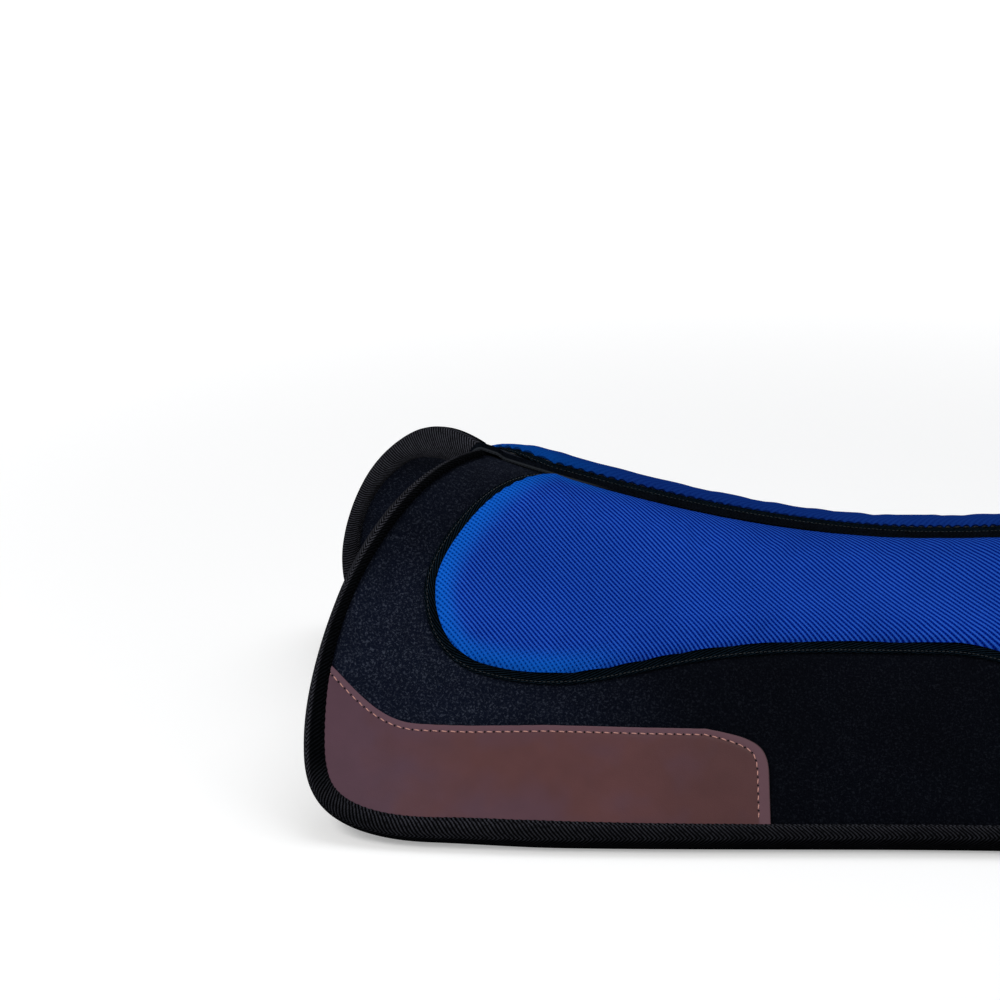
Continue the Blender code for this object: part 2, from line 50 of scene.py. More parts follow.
# Felt tops: 6 mm of pressed wool felt on each side, cut to the pad's outline and laid over the foam.
# Every piece is laid out on the pad's curved face: x is the station, s the way down from the spine and
# n the height above the face. The felt dips where the tapes and the leather are sewn through it.
PAD_FRONT, PAD_REAR = -0.49285, 0.49115
SPINE_FRONT, SPINE_REAR = -0.33485, 0.43115
SEAT, SEAT_HEIGHT = 0.13015, 0.211
WITHERS_RISE, LOIN_RISE = 0.092, 0.030
RIDGE_RADIUS, SIDE_RADIUS = 0.1495, 2.08
SHOULDER, WITHERS_STEEPENING, LOIN_STEEPENING = (math.radians(a) for a in (33.1, 13.1, 3.0))
FRONT_DEPTH, REAR_DEPTH = 0.403, 0.335
NOSE, SEAT_GAP, THICKNESS, BINDING_HALF = 0.008, 0.0009, 0.024, 0.0147
CHANNEL_EDGE = 0.0085
EDGE_STEPS, CORNER_STEPS, BOTTOM_STEPS = 60, 40, 160
FELT_ROWS, FELT_COLUMNS = 84, 200
FELT_TOP, FELT_LINING, FOAM_CORE = 0.006, 0.0054, 0.012


def face(x, s):
    """The pad's top face on the +Y side: a tight arc over the ridge and a wide arc down from it."""
    front = np.where(x < SEAT, (x - SEAT) / (SPINE_FRONT - SEAT), 0.0) ** 1.78
    rear = np.where(x < SEAT, 0.0, (x - SEAT) / (SPINE_REAR - SEAT)) ** 2
    ridge = SEAT_HEIGHT + WITHERS_RISE * front + LOIN_RISE * rear
    shoulder = SHOULDER + WITHERS_STEEPENING * front + LOIN_STEEPENING * rear
    on_ridge = s < RIDGE_RADIUS * shoulder
    slope = np.where(on_ridge, s / RIDGE_RADIUS, shoulder + (s - RIDGE_RADIUS * shoulder) / SIDE_RADIUS)
    tight = np.where(on_ridge, slope, shoulder)
    across = RIDGE_RADIUS * np.sin(tight) + SIDE_RADIUS * (np.sin(slope) - np.sin(tight))
    down = RIDGE_RADIUS * (1 - np.cos(tight)) + SIDE_RADIUS * (np.cos(tight) - np.cos(slope))
    return np.stack([x, across, ridge - down], -1)


def face_frame(x, s):
    """Place on the face, its directions along and down, and its outward normal."""
    step = 1e-4
    along = (face(x + step, s) - face(x - step, s)) / (2 * step)
    down = (face(x, s + step) - face(x, s - step)) / (2 * step)
    normal = np.cross(along, down)
    return face(x, s), along, down, normal / np.linalg.norm(normal, axis=-1, keepdims=True)


def over(points, n):
    """The places of points (x, s) at height n above the face."""
    place, _, _, normal = face_frame(points[..., 0], points[..., 1])
    return place + normal * np.broadcast_to(n, points.shape[:-1])[..., None]


def bezier(start, leave, arrive, end, steps=48):
    """Points of a cubic curve. Its handles are given as steps: on from the start, and back from the end."""
    a, d = np.asarray(start, float), np.asarray(end, float)
    b, c = a + leave, d - arrive
    t = np.linspace(0, 1, steps + 1)[:, None]
    return a * (1 - t) ** 3 + 3 * b * t * (1 - t) ** 2 + 3 * c * t**2 * (1 - t) + d * t**3


def travelled(line):
    """The length along a line up to each of its points."""
    return np.cumsum(np.r_[0, np.linalg.norm(np.diff(line, axis=0), axis=1)])


def points_at(at, length, line):
    """The points of a line at some lengths along it."""
    return np.stack([np.interp(at, length, part) for part in line.T], -1)


def spread(line, steps):
    """The same line with evenly spaced points."""
    length = travelled(line)
    at = np.linspace(0, length[-1], steps + 1)
    return points_at(at, length, line)


def inset(line, distance, closed=False):
    """The line moved over the face towards its inner side by a true distance."""
    ahead, behind = np.roll(line, -1, 0), np.roll(line, 1, 0)
    if not closed:
        ahead[-1], behind[0] = line[-1], line[0]
    _, along, down, normal = face_frame(line[:, 0], line[:, 1])
    step = ahead - behind
    inward = np.cross(along * step[:, :1] + down * step[:, 1:], normal)
    inward /= np.linalg.norm(inward, axis=1, keepdims=True)
    shift = np.einsum("kij,kj->ki", np.linalg.pinv(np.stack([along, down], -1)), inward)
    return line + shift * np.broadcast_to(distance, len(line))[:, None]


def patch(top, bottom, front, rear):
    """A grid of (x, s) between four lines: top and bottom run to the rear, front and rear run down."""
    u = np.linspace(0, 1, len(top))[None, :, None]
    v = np.linspace(0, 1, len(front))[:, None, None]
    between = (1 - v) * top[None] + v * bottom[None] + (1 - u) * front[:, None] + u * rear[:, None]
    corners = (1 - v) * ((1 - u) * top[0] + u * top[-1]) + v * ((1 - u) * bottom[0] + u * bottom[-1])
    return between - corners


def bottom_depth(x):
    """How far down the side the rim's tip lies, so that the rounded binding just reaches the floor."""
    s = np.full_like(x, FRONT_DEPTH)
    for _ in range(12):
        place, _, down, normal = face_frame(x, s)
        slope = np.arcsin(np.clip(-down[:, 2], -1, 1))
        reach = np.hypot(NOSE * np.sin(slope), BINDING_HALF * np.cos(slope))
        s = s + (place[:, 2] - THICKNESS / 2 * normal[:, 2] - reach + 0.0005) / np.sin(slope)
    return s + NOSE


def rounded_corner(upright_end, end, following):
    """A lower corner of the rim, tangent to the upright edge and to the bottom edge."""
    back = (end - following) / np.linalg.norm(end - following)
    run, drop = abs(end[0] - upright_end[0]), end[1] - upright_end[1]
    return bezier(upright_end, [0, drop * 0.964], -back * run * 0.874, end, CORNER_STEPS)


front_top, front_low = np.array([SPINE_FRONT, 0.0075]), np.array([PAD_FRONT, FRONT_DEPTH])
rear_top, rear_low = np.array([SPINE_REAR, 0.0075]), np.array([PAD_REAR, REAR_DEPTH])
front_edge = bezier(front_top, [-0.088, 0.119], [0, 0.1455], front_low, EDGE_STEPS)
rear_edge = bezier(rear_top, [0.030, 0.100], [0, 0.120], rear_low, EDGE_STEPS)
stations = np.linspace(PAD_FRONT + 0.1205, PAD_REAR - 0.075, BOTTOM_STEPS + 1)
bottom_edge = np.stack([stations, bottom_depth(stations)], 1)
front_corner = rounded_corner(front_low, bottom_edge[0], bottom_edge[1])
rear_corner = rounded_corner(rear_low, bottom_edge[-1], bottom_edge[-2])
RIM = np.concatenate(
    [front_edge[:-1], front_corner[:-1], bottom_edge[:-1], rear_corner[:0:-1], rear_edge[::-1]])
UPRIGHT = EDGE_STEPS + CORNER_STEPS // 2


def up_to_channel(line):
    """An upright rim line carried on straight to the edge of the spine channel, under the strap."""
    share = (line[0, 1] - CHANNEL_EDGE) / (line[1, 1] - line[0, 1])
    return np.concatenate([line[:1] + (line[0] - line[1]) * share, line])


def side_grid(line, rows=FELT_ROWS, columns=FELT_COLUMNS):
    """The grid that fills a rim line and is closed along the spine channel."""
    front = spread(up_to_channel(line[: UPRIGHT + 1]), rows)
    rear = spread(up_to_channel(line[-UPRIGHT - 1 :][::-1]), rows)
    bottom = spread(line[UPRIGHT : len(line) - UPRIGHT], columns)
    share = np.linspace(0, 1, columns + 1)[:, None]
    return patch(front[:1] * (1 - share) + rear[:1] * share, bottom, front, rear)


def apart(grid, line):
    """Distance of each grid point from a line, both given as (x, s)."""
    return np.stack([np.linalg.norm(row[:, None] - line[None], axis=2).min(1) for row in grid])


def pick(piece):
    """Selects one piece and makes it the active one."""
    bpy.ops.object.select_all(action="DESELECT")
    piece.select_set(True)
    bpy.context.view_layer.objects.active = piece


def edit(piece, *steps):
    """Runs mesh operators on all of a piece, in edit mode."""
    pick(piece)
    bpy.ops.object.mode_set(mode="EDIT")
    bpy.ops.mesh.select_all(action="SELECT")
    for step in steps:
        step()
    bpy.ops.object.mode_set(mode="OBJECT")


def modify(piece, kind, **settings):
    """Adds a modifier and applies it."""
    modifier = piece.modifiers.new(kind.lower(), kind)
    for key, value in settings.items():
        setattr(modifier, key, value)
    bpy.context.view_layer.objects.active = piece
    bpy.ops.object.modifier_apply(modifier=modifier.name)


def new_grid(name, rows, columns):
    """A flat grid of rows by columns of points, for a shape to come."""
    bpy.ops.object.select_all(action="DESELECT")
    bpy.ops.mesh.primitive_grid_add(x_subdivisions=columns - 1, y_subdivisions=rows - 1, size=1)
    made = bpy.context.object
    made.name = made.data.name = name
    return made


def thicken(piece, thickness, way=-1):
    """Gives a sheet its thickness, inwards or outwards."""
    modify(piece, "SOLIDIFY", thickness=thickness, offset=way)


def lay(name, grid, height, side, under=False, uv=None):
    """A sheet laid over one side's face on a grid of (x, s), at its own heights, facing out or down."""
    sheet = new_grid(name, *grid.shape[:2])
    place = over(grid, height).reshape(-1, 3)
    shape(sheet, place, grid.reshape(-1, 2) if uv is None else uv, side)
    if (side < 0) != under:
        edit(sheet, bpy.ops.mesh.flip_normals)
    return sheet


def shape(sheet, place, uv, side):
    """Moves a grid's points to their places on one side, and gives it its cloth coordinates in metres."""
    place = place * [1, side, 1]
    sheet.data.vertices.foreach_set("co", place.ravel())
    corners = np.empty(len(sheet.data.loops), int)
    sheet.data.loops.foreach_get("vertex_index", corners)
    layer = sheet.data.uv_layers.active
    layer.name = "cloth"
    layer.data.foreach_set("uv", np.asarray(uv).reshape(-1, 2)[corners].ravel())
    sheet.data.update()


def finish(piece, body, slot, surface, *stands_for):
    """Gives a piece its surface and smooth shading, and sets it on its body in place of the CAD nodes."""
    piece.data.materials.clear()
    piece.data.materials.append(surface)
    pick(piece)
    bpy.ops.object.shade_smooth_by_angle(angle=math.radians(50))
    if body:
        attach(piece, body)
    if stands_for:
        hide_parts(*stands_for)


def node(tree, kind, inputs=(), **settings):
    """One shader node, with its inputs set to values or joined to sockets."""
    made = tree.nodes.new("ShaderNode" + kind)
    for key, value in settings.items():
        setattr(made, key, value)
    for key, value in dict(inputs).items():
        if isinstance(value, bpy.types.NodeSocket):
            tree.links.new(value, made.inputs[key])
        else:
            made.inputs[key].default_value = value
    return made


def maths(tree, operation, *values, clamp=False):
    """The result of one Math node."""
    return node(tree, "Math", enumerate(values), operation=operation, use_clamp=clamp).outputs[0]


def times(tree, one, *others, clamp=False):
    """The product of some values."""
    for other in others:
        one = maths(tree, "MULTIPLY", one, other, clamp=clamp)
    return one


def spot_in(tree):
    """The place on the object."""
    return node(tree, "TexCoord").outputs["Object"]


def parts_of(tree, vector):
    """A vector's three parts."""
    return node(tree, "SeparateXYZ", {0: vector}).outputs


def span(tree, value, low, high, to_low=0.0, to_high=1.0):
    """A value's range from low to high, spread smoothly over another range."""
    inputs = {"Value": value, "From Min": low, "From Max": high, "To Min": to_low, "To Max": to_high}
    return node(tree, "MapRange", inputs, interpolation_type="SMOOTHSTEP").outputs[0]


def blend(tree, share, one, two):
    """Two colours mixed by a share."""
    made = node(tree, "Mix", {"Factor": share}, data_type="RGBA")
    for socket, colour in ((made.inputs[6], one), (made.inputs[7], two)):
        if isinstance(colour, bpy.types.NodeSocket):
            tree.links.new(colour, socket)
        else:
            socket.default_value = (*colour, 1)
    return made.outputs[2]


def surface(name, roughness, **constants):
    """A material with its Principled shader's plain constants. Returns it, its tree and the shader."""
    made = bpy.data.materials.new(name)
    made.use_nodes = True
    shader = made.node_tree.nodes["Principled BSDF"]
    shader.inputs["Roughness"].default_value = roughness
    for key, value in constants.items():
        shader.inputs[key.replace("_", " ")].default_value = value
    return made, made.node_tree, shader


def paint(tree, shader, colour):
    """Gives the shader its colour."""
    tree.links.new(colour, shader.inputs["Base Color"])


def relief(tree, shader, height, strength, distance, under=None):
    """Turns a height into the shader's normal, over another normal if there is one."""
    inputs = {"Height": height, "Strength": strength, "Distance": distance}
    if under:
        inputs["Normal"] = under
    bump = node(tree, "Bump", inputs)
    tree.links.new(bump.outputs[0], shader.inputs["Normal"])
    return bump.outputs[0]


def effect(name, inputs, outputs):
    """An empty node group with named inputs and outputs, and its two end nodes."""
    tree = bpy.data.node_groups.new(name, "ShaderNodeTree")
    for socket, kind in inputs.items():
        tree.interface.new_socket(socket, in_out="INPUT", socket_type="NodeSocket" + kind)
    for socket, kind in outputs.items():
        tree.interface.new_socket(socket, in_out="OUTPUT", socket_type="NodeSocket" + kind)
    return tree, tree.nodes.new("NodeGroupInput").outputs, tree.nodes.new("NodeGroupOutput").inputs


def use(tree, group, **inputs):
    """A node group placed in a material, with its own values. Returns its outputs."""
    made = tree.nodes.new("ShaderNodeGroup")
    made.node_tree = group
    for key, value in inputs.items():
        socket = made.inputs[key.replace("_", " ")]
        if isinstance(value, bpy.types.NodeSocket):
            tree.links.new(value, socket)
        else:
            socket.default_value = value
    return made.outputs


# Loose fibre: tangled hairs and slubs at a scale, as on felt, tape and thread.
FIBRE, given, out = effect(
    "fibre", {"Vector": "Vector", "Scale": "Float"}, {"Fleck": "Float", "Height": "Float"})
slubs = node(
    FIBRE, "TexNoise",
    {"Vector": given[0], "Scale": given[1], "Detail": 3, "Roughness": 0.62, "Distortion": 0.6})
hairs = node(
    FIBRE, "TexNoise",
    {"Vector": given[0], "Scale": times(FIBRE, given[1], 2.3), "Detail": 2, "Distortion": 2.5})
thin = maths(FIBRE, "ABSOLUTE", maths(FIBRE, "SUBTRACT", hairs.outputs[0], 0.5))
hair = span(FIBRE, thin, 0.045, 0.0)
fleck = maths(FIBRE, "ADD", span(FIBRE, slubs.outputs[0], 0.50, 0.68), times(FIBRE, hair, 0.35), clamp=True)
FIBRE.links.new(fleck, out[0])
FIBRE.links.new(maths(FIBRE, "ADD", slubs.outputs[0], times(FIBRE, hair, 0.3)), out[1])

# Slow cloudiness over a whole piece, from handling, dust and dye.
CLOUD, given, out = effect(
    "cloud", {"Vector": "Vector", "Scale": "Float", "Amount": "Float"}, {"Shade": "Float"})
drift = node(CLOUD, "TexNoise", {"Vector": given[0], "Scale": given[1], "Detail": 2, "Roughness": 0.5})
swing = times(CLOUD, maths(CLOUD, "SUBTRACT", drift.outputs[0], 0.5), given[2])
CLOUD.links.new(maths(CLOUD, "ADD", 1.0, swing), out[0])


def shaded(tree, colour, shade):
    """A colour times a shade."""
    return node(tree, "VectorMath", {0: colour, 1: shade}, operation="MULTIPLY").outputs[0]


felt, tree, shader = surface(
    "charcoal_felt", 0.95, Sheen_Weight=0.02, Sheen_Roughness=0.5, Sheen_Tint=(0.6, 0.7, 1.0, 1))
shader.inputs["Specular IOR Level"].default_value = 0.02
spot = spot_in(tree)
wool = use(tree, FIBRE, Vector=spot, Scale=460.0)
clouds = use(tree, CLOUD, Vector=spot, Scale=14.0, Amount=0.9)
heather = blend(tree, wool["Fleck"], (0.0022, 0.0040, 0.0115), (0.036, 0.043, 0.064))
parts = parts_of(tree, spot)
# Painted light: the felt is painted lighter towards the front and darker towards the rear, and darker along
# its top, as the light falls on it; the slow clouds are random tone.
cloud_and_painted_falloff = times(tree, span(tree, parts[0], -0.44, -0.06, 1.05, 0.17), clouds["Shade"])
cloud_and_painted_falloff = times(tree, cloud_and_painted_falloff, span(tree, parts[2], 0.20, 0.27, 1.0, 0.5))
paint(tree, shader, shaded(tree, heather, cloud_and_painted_falloff))
relief(tree, shader, wool["Height"], 0.6, 0.0012)

felt_grid = side_grid(inset(RIM, NOSE + SEAT_GAP))


def cover_at(line):
    """How far the binding reaches in from the rim: narrow at the spine and widest at the front corner."""
    stations = (-0.34, -0.30, -0.25, -0.16, -0.06, 0.0)
    less = np.interp(line[:, 0], stations, (0.0, 0.0008, 0.0022, 0.0034, 0.0040, 0.0044))
    on_bottom = np.clip((line[:, 1] - 0.30) / 0.06, 0, 1)
    return 0.012 + 0.0095 * np.clip(line[:, 1] / (FRONT_DEPTH + 0.02), 0, 1) ** 2.5 - less * on_bottom


cover = cover_at(RIM)
binding_seam = inset(RIM, cover - 0.003)


def unevenness(grid, size):
    """Slow swells of a soft layer, a fraction of a millimetre high."""
    x, s = grid[..., 0], grid[..., 1]
    swells = np.sin(41 * x + 9 * s + 0.7) * np.sin(33 * s - 11 * x + 1.9)
    return size * (swells + 0.6 * np.sin(83 * x - 27 * s + 2.4) * np.sin(71 * s + 0.3))


def pressed(grid, line, depth, width):
    """The dip that a seam pulls into a soft layer."""
    return -depth * np.exp(-((apart(grid, line) / width) ** 2))


# Kidney outline of the cushion, and the outline of the wear leather: the felt is sewn down round both.
lobe = np.interp(0.1998, front_edge[:, 1], front_edge[:, 0]) + 0.079, 0.1998
tail = np.interp(0.195, rear_edge[:, 1], rear_edge[:, 0]) - 0.070, 0.195
front_tip, rear_tip = np.array(lobe), np.array(tail)
waist, crest = np.array([SEAT, 0.157]), np.array([SEAT, 0.0205])
front_chin_end, rear_chin_end = front_tip + [0.0473, 0.0622], rear_tip + [-0.055, 0.050]
front_brow_top = np.array([front_tip[0] + 0.114, 0.0215])
rear_brow_top = np.array([rear_tip[0] - 0.035, 0.0265])
front_chin = bezier(front_tip, [0, 0.0413], [0.0285, 0], front_chin_end)
rear_chin = bezier(rear_tip, [0, 0.030], [-0.032, 0], rear_chin_end)
front_brow = bezier(front_brow_top, [-0.0267, 0.0027], [0, 0.050], front_tip)
rear_brow = bezier(rear_brow_top, [0.030, 0.020], [0, 0.070], rear_tip)
crest_front = bezier(front_brow_top, [0.0416, 0.0078], [0.120, 0], crest)
crest_rear = bezier(crest, [0.090, 0], [0.040, 0.006], rear_brow_top)
fall_run, rise_run = waist[0] - front_chin_end[0], rear_chin_end[0] - waist[0]
fall = bezier(front_chin_end, [0.323 * fall_run, 0], [0.625 * fall_run, 0], waist)
rise = bezier(waist, [0.42 * rise_run, 0], [0.30 * rise_run, 0], rear_chin_end)
kidney_top = np.concatenate([crest_front[:-1], crest_rear])
kidney_bottom = np.concatenate([front_chin[24:-1], fall[:-1], rise[:-1], rear_chin[24:][::-1]])
kidney_front = np.concatenate([front_brow[:-1], front_chin[:25]])
kidney_rear = np.concatenate([rear_brow[:-1], rear_chin[:25]])
KIDNEY = np.concatenate(
    [kidney_front[:-1], kidney_bottom[:-1], kidney_rear[::-1][:-1], kidney_top[::-1][:-1]])


def even_loop(line, steps):
    """A closed line with evenly spaced points, measured on the face."""
    closed = np.concatenate([line, line[:1]])
    length = travelled(face(closed[:, 0], closed[:, 1]))
    at = np.linspace(0, length[-1], steps, endpoint=False)
    return points_at(at, length, closed), length[-1]


TAPE_SEAM = 0.0075
tape_seam = inset(even_loop(KIDNEY, 600)[0], -TAPE_SEAM, closed=True)

LEATHER_END, LEATHER_HEIGHT, LEATHER_FRONT = PAD_FRONT + 0.4470, 0.1144, FRONT_DEPTH - 0.0915
CORNER_RUN, CORNER_DROP = 0.060, 0.041
edge_in = inset(RIM, cover + 0.0004)
upright = edge_in[: UPRIGHT + 1]
start = np.array([np.interp(LEATHER_FRONT, upright[:, 1], upright[:, 0]), LEATHER_FRONT])
leather_front = np.concatenate([[start], upright[upright[:, 1] > LEATHER_FRONT]])
low = edge_in[UPRIGHT : len(edge_in) - UPRIGHT]
stop = np.array([LEATHER_END, np.interp(LEATHER_END, low[:, 0], low[:, 1])])
leather_bottom = np.concatenate([low[low[:, 0] < LEATHER_END], [stop]])
crest_x = np.linspace(start[0], LEATHER_END - CORNER_RUN, 120)
crest_s = np.interp(crest_x, RIM[UPRIGHT:-UPRIGHT, 0], RIM[UPRIGHT:-UPRIGHT, 1]) - LEATHER_HEIGHT
crest_s += np.interp(crest_x, (-0.40, -0.33, -0.26, -0.16), (0.0022, 0.0020, -0.0012, -0.0008))
dip = np.interp(PAD_FRONT + 0.084, crest_x, crest_s) + 0.004
share = np.sin(np.clip((crest_x - start[0]) / 0.084, 0, 1) * math.pi / 2)
crest_s = np.where(share < 1, start[1] * (1 - share) + np.minimum(crest_s, dip) * share, crest_s)
upper = np.stack([crest_x, crest_s], 1)
corner_end = np.array([LEATHER_END, upper[-1, 1] + CORNER_DROP])
turn = bezier(upper[-1], [0.050, 0.0022], [0, 0.034], corner_end)
leather_top = np.concatenate([upper[:-1], turn[:25]])
leather_rear = np.concatenate([turn[24:], [stop]])
leather_edge = np.concatenate([upper[:-1], turn[:-1], spread(leather_rear[-2:], 40)])

SEAM_DIP, BINDING_DIP, LEATHER_DIP, SWELL = 0.0014, 0.0010, 0.0004, 0.00035
dips = pressed(felt_grid, tape_seam, SEAM_DIP, 0.007) + pressed(felt_grid, binding_seam, BINDING_DIP, 0.006)
dips += pressed(felt_grid, leather_edge, LEATHER_DIP, 0.003) + unevenness(felt_grid, SWELL)
for name, side in SIDES:
    top = lay(f"{name}_felt_top_layer", felt_grid, dips, side)
    thicken(top, FELT_TOP - SEAM_DIP)
    finish(top, f"{name}_side", "felt", felt, f"{name}_felt_top")

# Foam cores: 12 mm of closed-cell foam between the felts, its edge rounded into the binding's fold.
LAYER_GAP = 0.0003
FOAM_TOP = -FELT_TOP - LAYER_GAP
foam, tree, shader = surface("grey_foam", 0.9, Specular_IOR_Level=0.2)
spot = spot_in(tree)
cells = node(tree, "TexVoronoi", {"Vector": spot, "Scale": 900.0}, feature="DISTANCE_TO_EDGE").outputs[0]
wall = span(tree, cells, 0.0, 0.12)
clouds = use(tree, CLOUD, Vector=spot, Scale=20.0, Amount=0.3)
grey = blend(tree, wall, (0.30, 0.30, 0.31), (0.20, 0.20, 0.21))
paint(tree, shader, shaded(tree, grey, clouds["Shade"]))
relief(tree, shader, wall, 0.4, -0.0005)
core_grid = side_grid(inset(RIM, NOSE + SEAT_GAP), 36, 90)
for name, side in SIDES:
    core = lay(f"{name}_foam_slab", core_grid, FOAM_TOP, side)
    thicken(core, FOAM_CORE)
    modify(core, "BEVEL", width=0.004, segments=3, limit_method="ANGLE", angle_limit=math.radians(60))
    finish(core, f"{name}_side", "foam", foam, f"{name}_foam_core")

# Felt linings: the same felt under the foam, against the horse, with the seams pulled up through it.
LINING_DIP, LINING_SWELL, LINING_THINNED = 0.0016, 0.0004, 0.0018
lining_dips = -pressed(felt_grid, tape_seam, LINING_DIP, 0.008)
lining_dips -= pressed(felt_grid, binding_seam, BINDING_DIP, 0.006)
lining_height = -THICKNESS + lining_dips + unevenness(felt_grid[:, ::-1], LINING_SWELL)
for name, side in SIDES:
    lining = lay(f"{name}_lining_layer", felt_grid, lining_height, side, under=True)
    thicken(lining, FELT_LINING - LINING_THINNED)
    finish(lining, f"{name}_side", "felt", felt, f"{name}_felt_lining")

# Edge bindings: a heavy herringbone tape folded round the layers and sewn through near its inner edge.
# The tape puffs up over the edge, dimples at each stitch, and is pressed flat where the pad stands on it.
TAPE, BINDING_COLUMNS, STITCH_PITCH = 0.0017, 1040, 0.0078
TWILL, given, out = effect(
    "twill", {"Vector": "Vector", "Along": "Float", "Across": "Float", "Fold": "Float"},
    {"Height": "Float", "Gap": "Float"})
parts = parts_of(TWILL, given[0])
aside = maths(
    TWILL, "DIVIDE", maths(TWILL, "ABSOLUTE", maths(TWILL, "SUBTRACT", parts[1], given[3])), given[2])
phase = maths(TWILL, "ADD", maths(TWILL, "DIVIDE", parts[0], given[1]), aside)
wave = maths(TWILL, "ABSOLUTE", maths(TWILL, "SINE", times(TWILL, phase, math.pi)))
strand = maths(TWILL, "SINE", times(TWILL, maths(TWILL, "SUBTRACT", phase, times(TWILL, aside, 2.0)), 9.4))
TWILL.links.new(maths(TWILL, "ADD", maths(TWILL, "POWER", wave, 0.6), times(TWILL, strand, 0.08)), out[0])
TWILL.links.new(span(TWILL, wave, 0.62, 0.10), out[1])


def cloth_in(tree):
    """The place on the cloth, in metres along and across it."""
    return node(tree, "UVMap", uv_map="cloth").outputs[0]


def tape_surface(name, along, across, fold, colour, gap_shade, shine):
    """Woven tape: diagonal ribs with loose fibre, a painted highlight on the rib crests and painted shade
    in the gaps. Returns the material, its tree and the shader.
    """
    made, tree, shader = surface(name, 0.6, Sheen_Weight=shine, Sheen_Roughness=0.4)
    shader.inputs["Specular IOR Level"].default_value = 0.0
    along_tape = cloth_in(tree)
    ribs = use(tree, TWILL, Vector=along_tape, Along=along, Across=across, Fold=fold)
    spot = spot_in(tree)
    fuzz = use(tree, FIBRE, Vector=spot, Scale=700.0)
    clouds = use(tree, CLOUD, Vector=spot, Scale=30.0, Amount=0.7)
    yarn = blend(tree, times(tree, fuzz["Fleck"], 0.5), colour, [c * 2.2 for c in colour])
    broken = use(tree, CLOUD, Vector=spot, Scale=330.0, Amount=3.4)
    # Painted highlight: the rib crests are painted much lighter, in broken flecks.
    painted_rib_highlight = times(tree, span(tree, ribs["Height"], 0.76, 1.03), broken["Shade"], clamp=True)
    yarn = blend(tree, painted_rib_highlight, yarn, [c * 7.5 for c in colour])
    # Painted shade: the gaps between the ribs take a darker colour.
    yarn = blend(tree, ribs["Gap"], yarn, gap_shade)
    paint(tree, shader, shaded(tree, yarn, clouds["Shade"]))
    fine = relief(tree, shader, fuzz["Height"], 0.25, 0.0005)
    relief(tree, shader, ribs["Height"], 0.9, 0.0011, fine)
    return made, tree, shader


binding_surface, tree, shader = tape_surface(
    "edge_tape", 0.0042, 0.0034, 0.013, (0.0034, 0.0035, 0.0043), (0.0002, 0.0002, 0.0003), 0.0)
tape_place = parts_of(tree, cloth_in(tree))
high = parts_of(tree, spot_in(tree))[2]
# Painted shade: on the upright edges the tape's half next to the felt is painted near black, as turned away
# from the light.
painted_shade_inner_half = times(tree, span(tree, tape_place[1], 0.0115, 0.0085), span(tree, high, 0.03, 0.08))
woven = shader.inputs["Base Color"].links[0].from_socket
woven = blend(tree, times(tree, painted_shade_inner_half, 0.85), woven, (0.0006, 0.0009, 0.0011))
# Painted light along the bottom run: a painted highlight along the seam near the tape's inner edge, and
# painted shade on its underside towards the floor.
painted_seam_light = span(tree, tape_place[1], 0.002, 0.009, 1.35, 0.85)
under = span(tree, tape_place[1], 0.0135, 0.0165, 1.0, 0.35)
low_light_and_shade = times(tree, painted_seam_light, under)
low = span(tree, high, 0.08, 0.03)
low_light_and_shade = maths(tree, "ADD", 1.0, times(tree, maths(tree, "SUBTRACT", low_light_and_shade, 1.0), low))
# Painted light: above the bottom run, the tape's outer part and fold are painted lighter, as turned towards
# the light.
painted_light_outer = times(tree, span(tree, tape_place[1], 0.009, 0.011), maths(tree, "SUBTRACT", 1.0, low))
low_light_and_shade = times(tree, low_light_and_shade, maths(tree, "ADD", 1.0, times(tree, painted_light_outer, 0.7)))
paint(tree, shader, shaded(tree, woven, low_light_and_shade))
rim = spread(RIM, BINDING_COLUMNS)
reach = cover_at(rim) - NOSE
run = travelled(face(rim[:, 0], rim[:, 1]))
pull = np.sin(math.pi * run / STITCH_PITCH) ** 4
SEAM_SHARE = 0.82
# Where the fold's nose is drawn in: metres along the rim from the spine's front end, and millimetres.
drawn_at = (0.0, 0.07, 0.17, 0.21, 0.26, 0.30, 0.34, 0.37, 0.40, 0.425, 0.455, 0.50, 0.60, 0.64, 0.68)
drawn_in = (0.0, 1.0, 1.0, 2.2, 3.8, 3.6, 2.2, 0.9, 1.1, 2.3, 1.9, 2.4, 2.4, 1.3, 0.2)
drawn = np.convolve(
    np.pad(np.interp(run, drawn_at, drawn_in), 12, mode="edge"), np.ones(25) / 25, "valid") / 1000


def strip(name, sections, side, closed=False):
    """A tape swept along a line, from rows of points across its width. Its cloth place is (run, width)."""
    places = np.stack(sections)
    if closed:
        places = np.concatenate([places, places[:, :1]], 1)
    made = new_grid(name, *places.shape[:2])
    length = travelled(places[len(places) // 2])
    width = np.cumsum(np.r_[0, np.linalg.norm(np.diff(places, axis=0), axis=2).mean(1)])
    shape(made, places.reshape(-1, 3), np.stack(np.meshgrid(length, width), -1), side)
    if closed:
        edit(made, lambda: bpy.ops.mesh.remove_doubles(threshold=1e-6))
    return made


def fold_height(share):
    """Half the folded binding's thickness, from its nose (0) to its inner edge (1)."""
    lip = 0.0013 * max(0.0, (share - 0.9) / 0.1) ** 2
    seam = math.exp(-(((share - SEAM_SHARE) / 0.10) ** 2))
    puff = 0.0008 * math.sin(math.pi * min(1.0, share))
    return BINDING_HALF + puff - lip - seam * (0.0005 + 0.0008 * pull)


